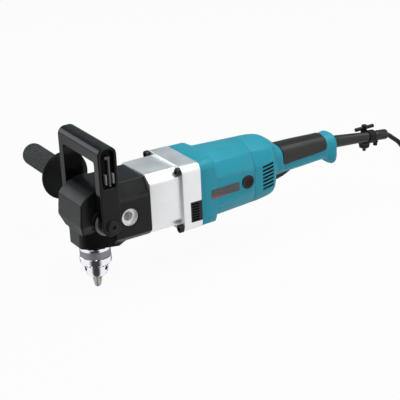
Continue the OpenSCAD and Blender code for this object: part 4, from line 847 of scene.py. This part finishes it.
# CAD nodes that are shown as they are, by material
NODE_MATERIALS = {
    "steel": "spindle_bearings spindle bevel_gear chuck_nut bevel_pinion_shaft final_gear countershaft "
             "intermediate_gear gear_bearings armature_shaft armature_bearings trigger_pin "
             "side_handle_stud brush_springs",
    "dark_steel": "head_screws field_core armature_core handle_screws",
    "jaw_steel": "jaw_1 jaw_2 jaw_3",
    "silver_casting": "bearing_plate",
    "bright_metal": "side_handle_bushes",
    "copper": "field_coils commutator",
    "brass": "brush_holders plug_pins",
    "carbon": "carbon_brushes",
    "black_plastic": "vent_grille_left vent_grille_right cooling_fan rear_bearing_bracket switch_body "
                     "cord_clamp coil_tie",
    "rubber": "spindle_seal inner_lead",
    "grey_plate": "name_plate",
}


def dress_nodes():
    for material, names in NODE_MATERIALS.items():
        for name in names.split():
            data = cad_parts[name].data
            data.materials.clear()
            data.materials.append(mats[material])


# Studio, in metres
def area_light(name, place, target, size, power, colour=(1, 1, 1)):
    data = bpy.data.lights.new(name, "AREA")
    data.shape = "RECTANGLE"
    data.size, data.size_y = size
    data.energy = power
    data.color = colour
    lamp = bpy.data.objects.new(name, data)
    aim = Vector(target) - Vector(place)
    lamp.matrix_world = Matrix.Translation(place) @ aim.to_track_quat("-Z", "Y").to_matrix().to_4x4()
    scene.collection.objects.link(lamp)


def light_rays(tree):
    """Rays from the camera, and rays that a shiny or clear surface sends on."""
    path = tree.nodes.new("ShaderNodeLightPath").outputs
    mirror = calc(tree, "MAXIMUM", path["Is Glossy Ray"], path["Is Transmission Ray"])
    return path["Is Camera Ray"], mirror


def mix_shaders(tree, share, first, second):
    node = tree.nodes.new("ShaderNodeMixShader")
    for socket, value in zip(node.inputs, (share, first, second)):
        feed(tree, socket, value)
    return node.outputs["Shader"]


def studio_walls(tree, source):
    """The studio in reflections: white to the sides, dark on the viewer's side, grey behind."""
    viewer = (-0.516, -0.857, 0)
    level = vector_calc(tree, "NORMALIZE", vector_calc(tree, "MULTIPLY", source, (1, 1, 0)))
    towards = vector_calc(tree, "DOT_PRODUCT", level, viewer, out="Value")
    shade = tree.nodes.new("ShaderNodeValToRGB")
    stops = shade.color_ramp.elements
    stops[0].color = (0.26, 0.31, 0.33, 1)
    stops[0].position = 0.14
    stops[1].color = (0.05, 0.05, 0.06, 1)
    stops[1].position = 0.96
    for at in (0.28, 0.86):
        stops.new(at).color = (1, 1, 1, 1)
    feed(tree, shade.inputs["Fac"], span(tree, towards, 0, 1, -1, 1))
    return shade.outputs["Color"]


def add_floor():
    """Pale paper: nearly white to the camera, with the object's shadow, and the walls in reflections."""
    bm = bmesh.new()
    bmesh.ops.create_grid(bm, x_segments=1, y_segments=1, size=6)
    mesh = to_mesh(bm)
    mat = bpy.data.materials.new("floor")
    mat.use_nodes = True
    tree = mat.node_tree
    paper = tree.nodes["Principled BSDF"]
    paper.inputs["Base Color"].default_value = (0.62, 0.62, 0.62, 1)
    paper.inputs["Roughness"].default_value = 0.9
    white = tree.nodes.new("ShaderNodeEmission")
    mirrored = tree.nodes.new("ShaderNodeEmission")
    feed(tree, mirrored.inputs["Color"], studio_walls(tree, object_coords(tree)))
    camera, mirror = light_rays(tree)
    share = calc(tree, "MULTIPLY", camera, 0.95)
    seen = mix_shaders(tree, share, paper.outputs["BSDF"], white.outputs["Emission"])
    both = mix_shaders(tree, mirror, seen, mirrored.outputs["Emission"])
    feed(tree, tree.nodes["Material Output"].inputs["Surface"], both)
    mesh.materials.append(mat)
    floor = bpy.data.objects.new("floor", mesh)
    scene.collection.objects.link(floor)


def add_world():
    """A dim sky that lights the object: white to the camera, with the walls in reflections."""
    world = bpy.data.worlds.new("studio")
    scene.world = world
    world.use_nodes = True
    tree = world.node_tree
    sky = tree.nodes["Background"]
    sky.inputs["Color"].default_value = (0.93, 0.96, 1, 1)
    sky.inputs["Strength"].default_value = 0.2
    mirrored = tree.nodes.new("ShaderNodeBackground")
    directions = tree.nodes.new("ShaderNodeTexCoord").outputs["Generated"]
    feed(tree, mirrored.inputs["Color"], studio_walls(tree, directions))
    white = tree.nodes.new("ShaderNodeBackground")
    white.inputs["Color"].default_value = (1, 1, 1, 1)
    camera, mirror = light_rays(tree)
    lit = mix_shaders(tree, mirror, sky.outputs["Background"], mirrored.outputs["Background"])
    both = mix_shaders(tree, camera, lit, white.outputs["Background"])
    feed(tree, tree.nodes["World Output"].inputs["Surface"], both)


def add_studio():
    add_floor()
    add_world()
    area_light("top", (0.55, -0.35, 1.75), (0.2, 0, 0.1), (2, 1.5), 28, (0.97, 0.99, 1))
    area_light("left", (-1.3, -1, 1.2), (0.1, 0, 0.12), (0.9, 0.7), 3, (0.9, 0.96, 1))
    area_light("back_left", (-1.05, 1.76, 0.85), (0.05, 0, 0.17), (1.3, 1), 9, (0.85, 0.94, 1))
    area_light("front", (0.5, -1.8, 0.7), (0.2, 0, 0.1), (1.2, 0.8), 2)


make_materials()
add_camera()
add_cord()
add_head()
add_gear_housing()
add_housing_screws()
add_motor_housing()
add_brush_caps()
add_rear()
add_vent_shade_linings()
add_grip()
add_chuck_body()
add_chuck_sleeve()
add_loop_handle()
add_pocket_shade_lining()
add_key_clips()
add_bush_shadow_rim()
add_pivot_bosses()
add_side_handle()
add_cord_guard()
add_small_parts()
dress_nodes()
add_studio()
scene.view_settings.view_transform = "Standard"
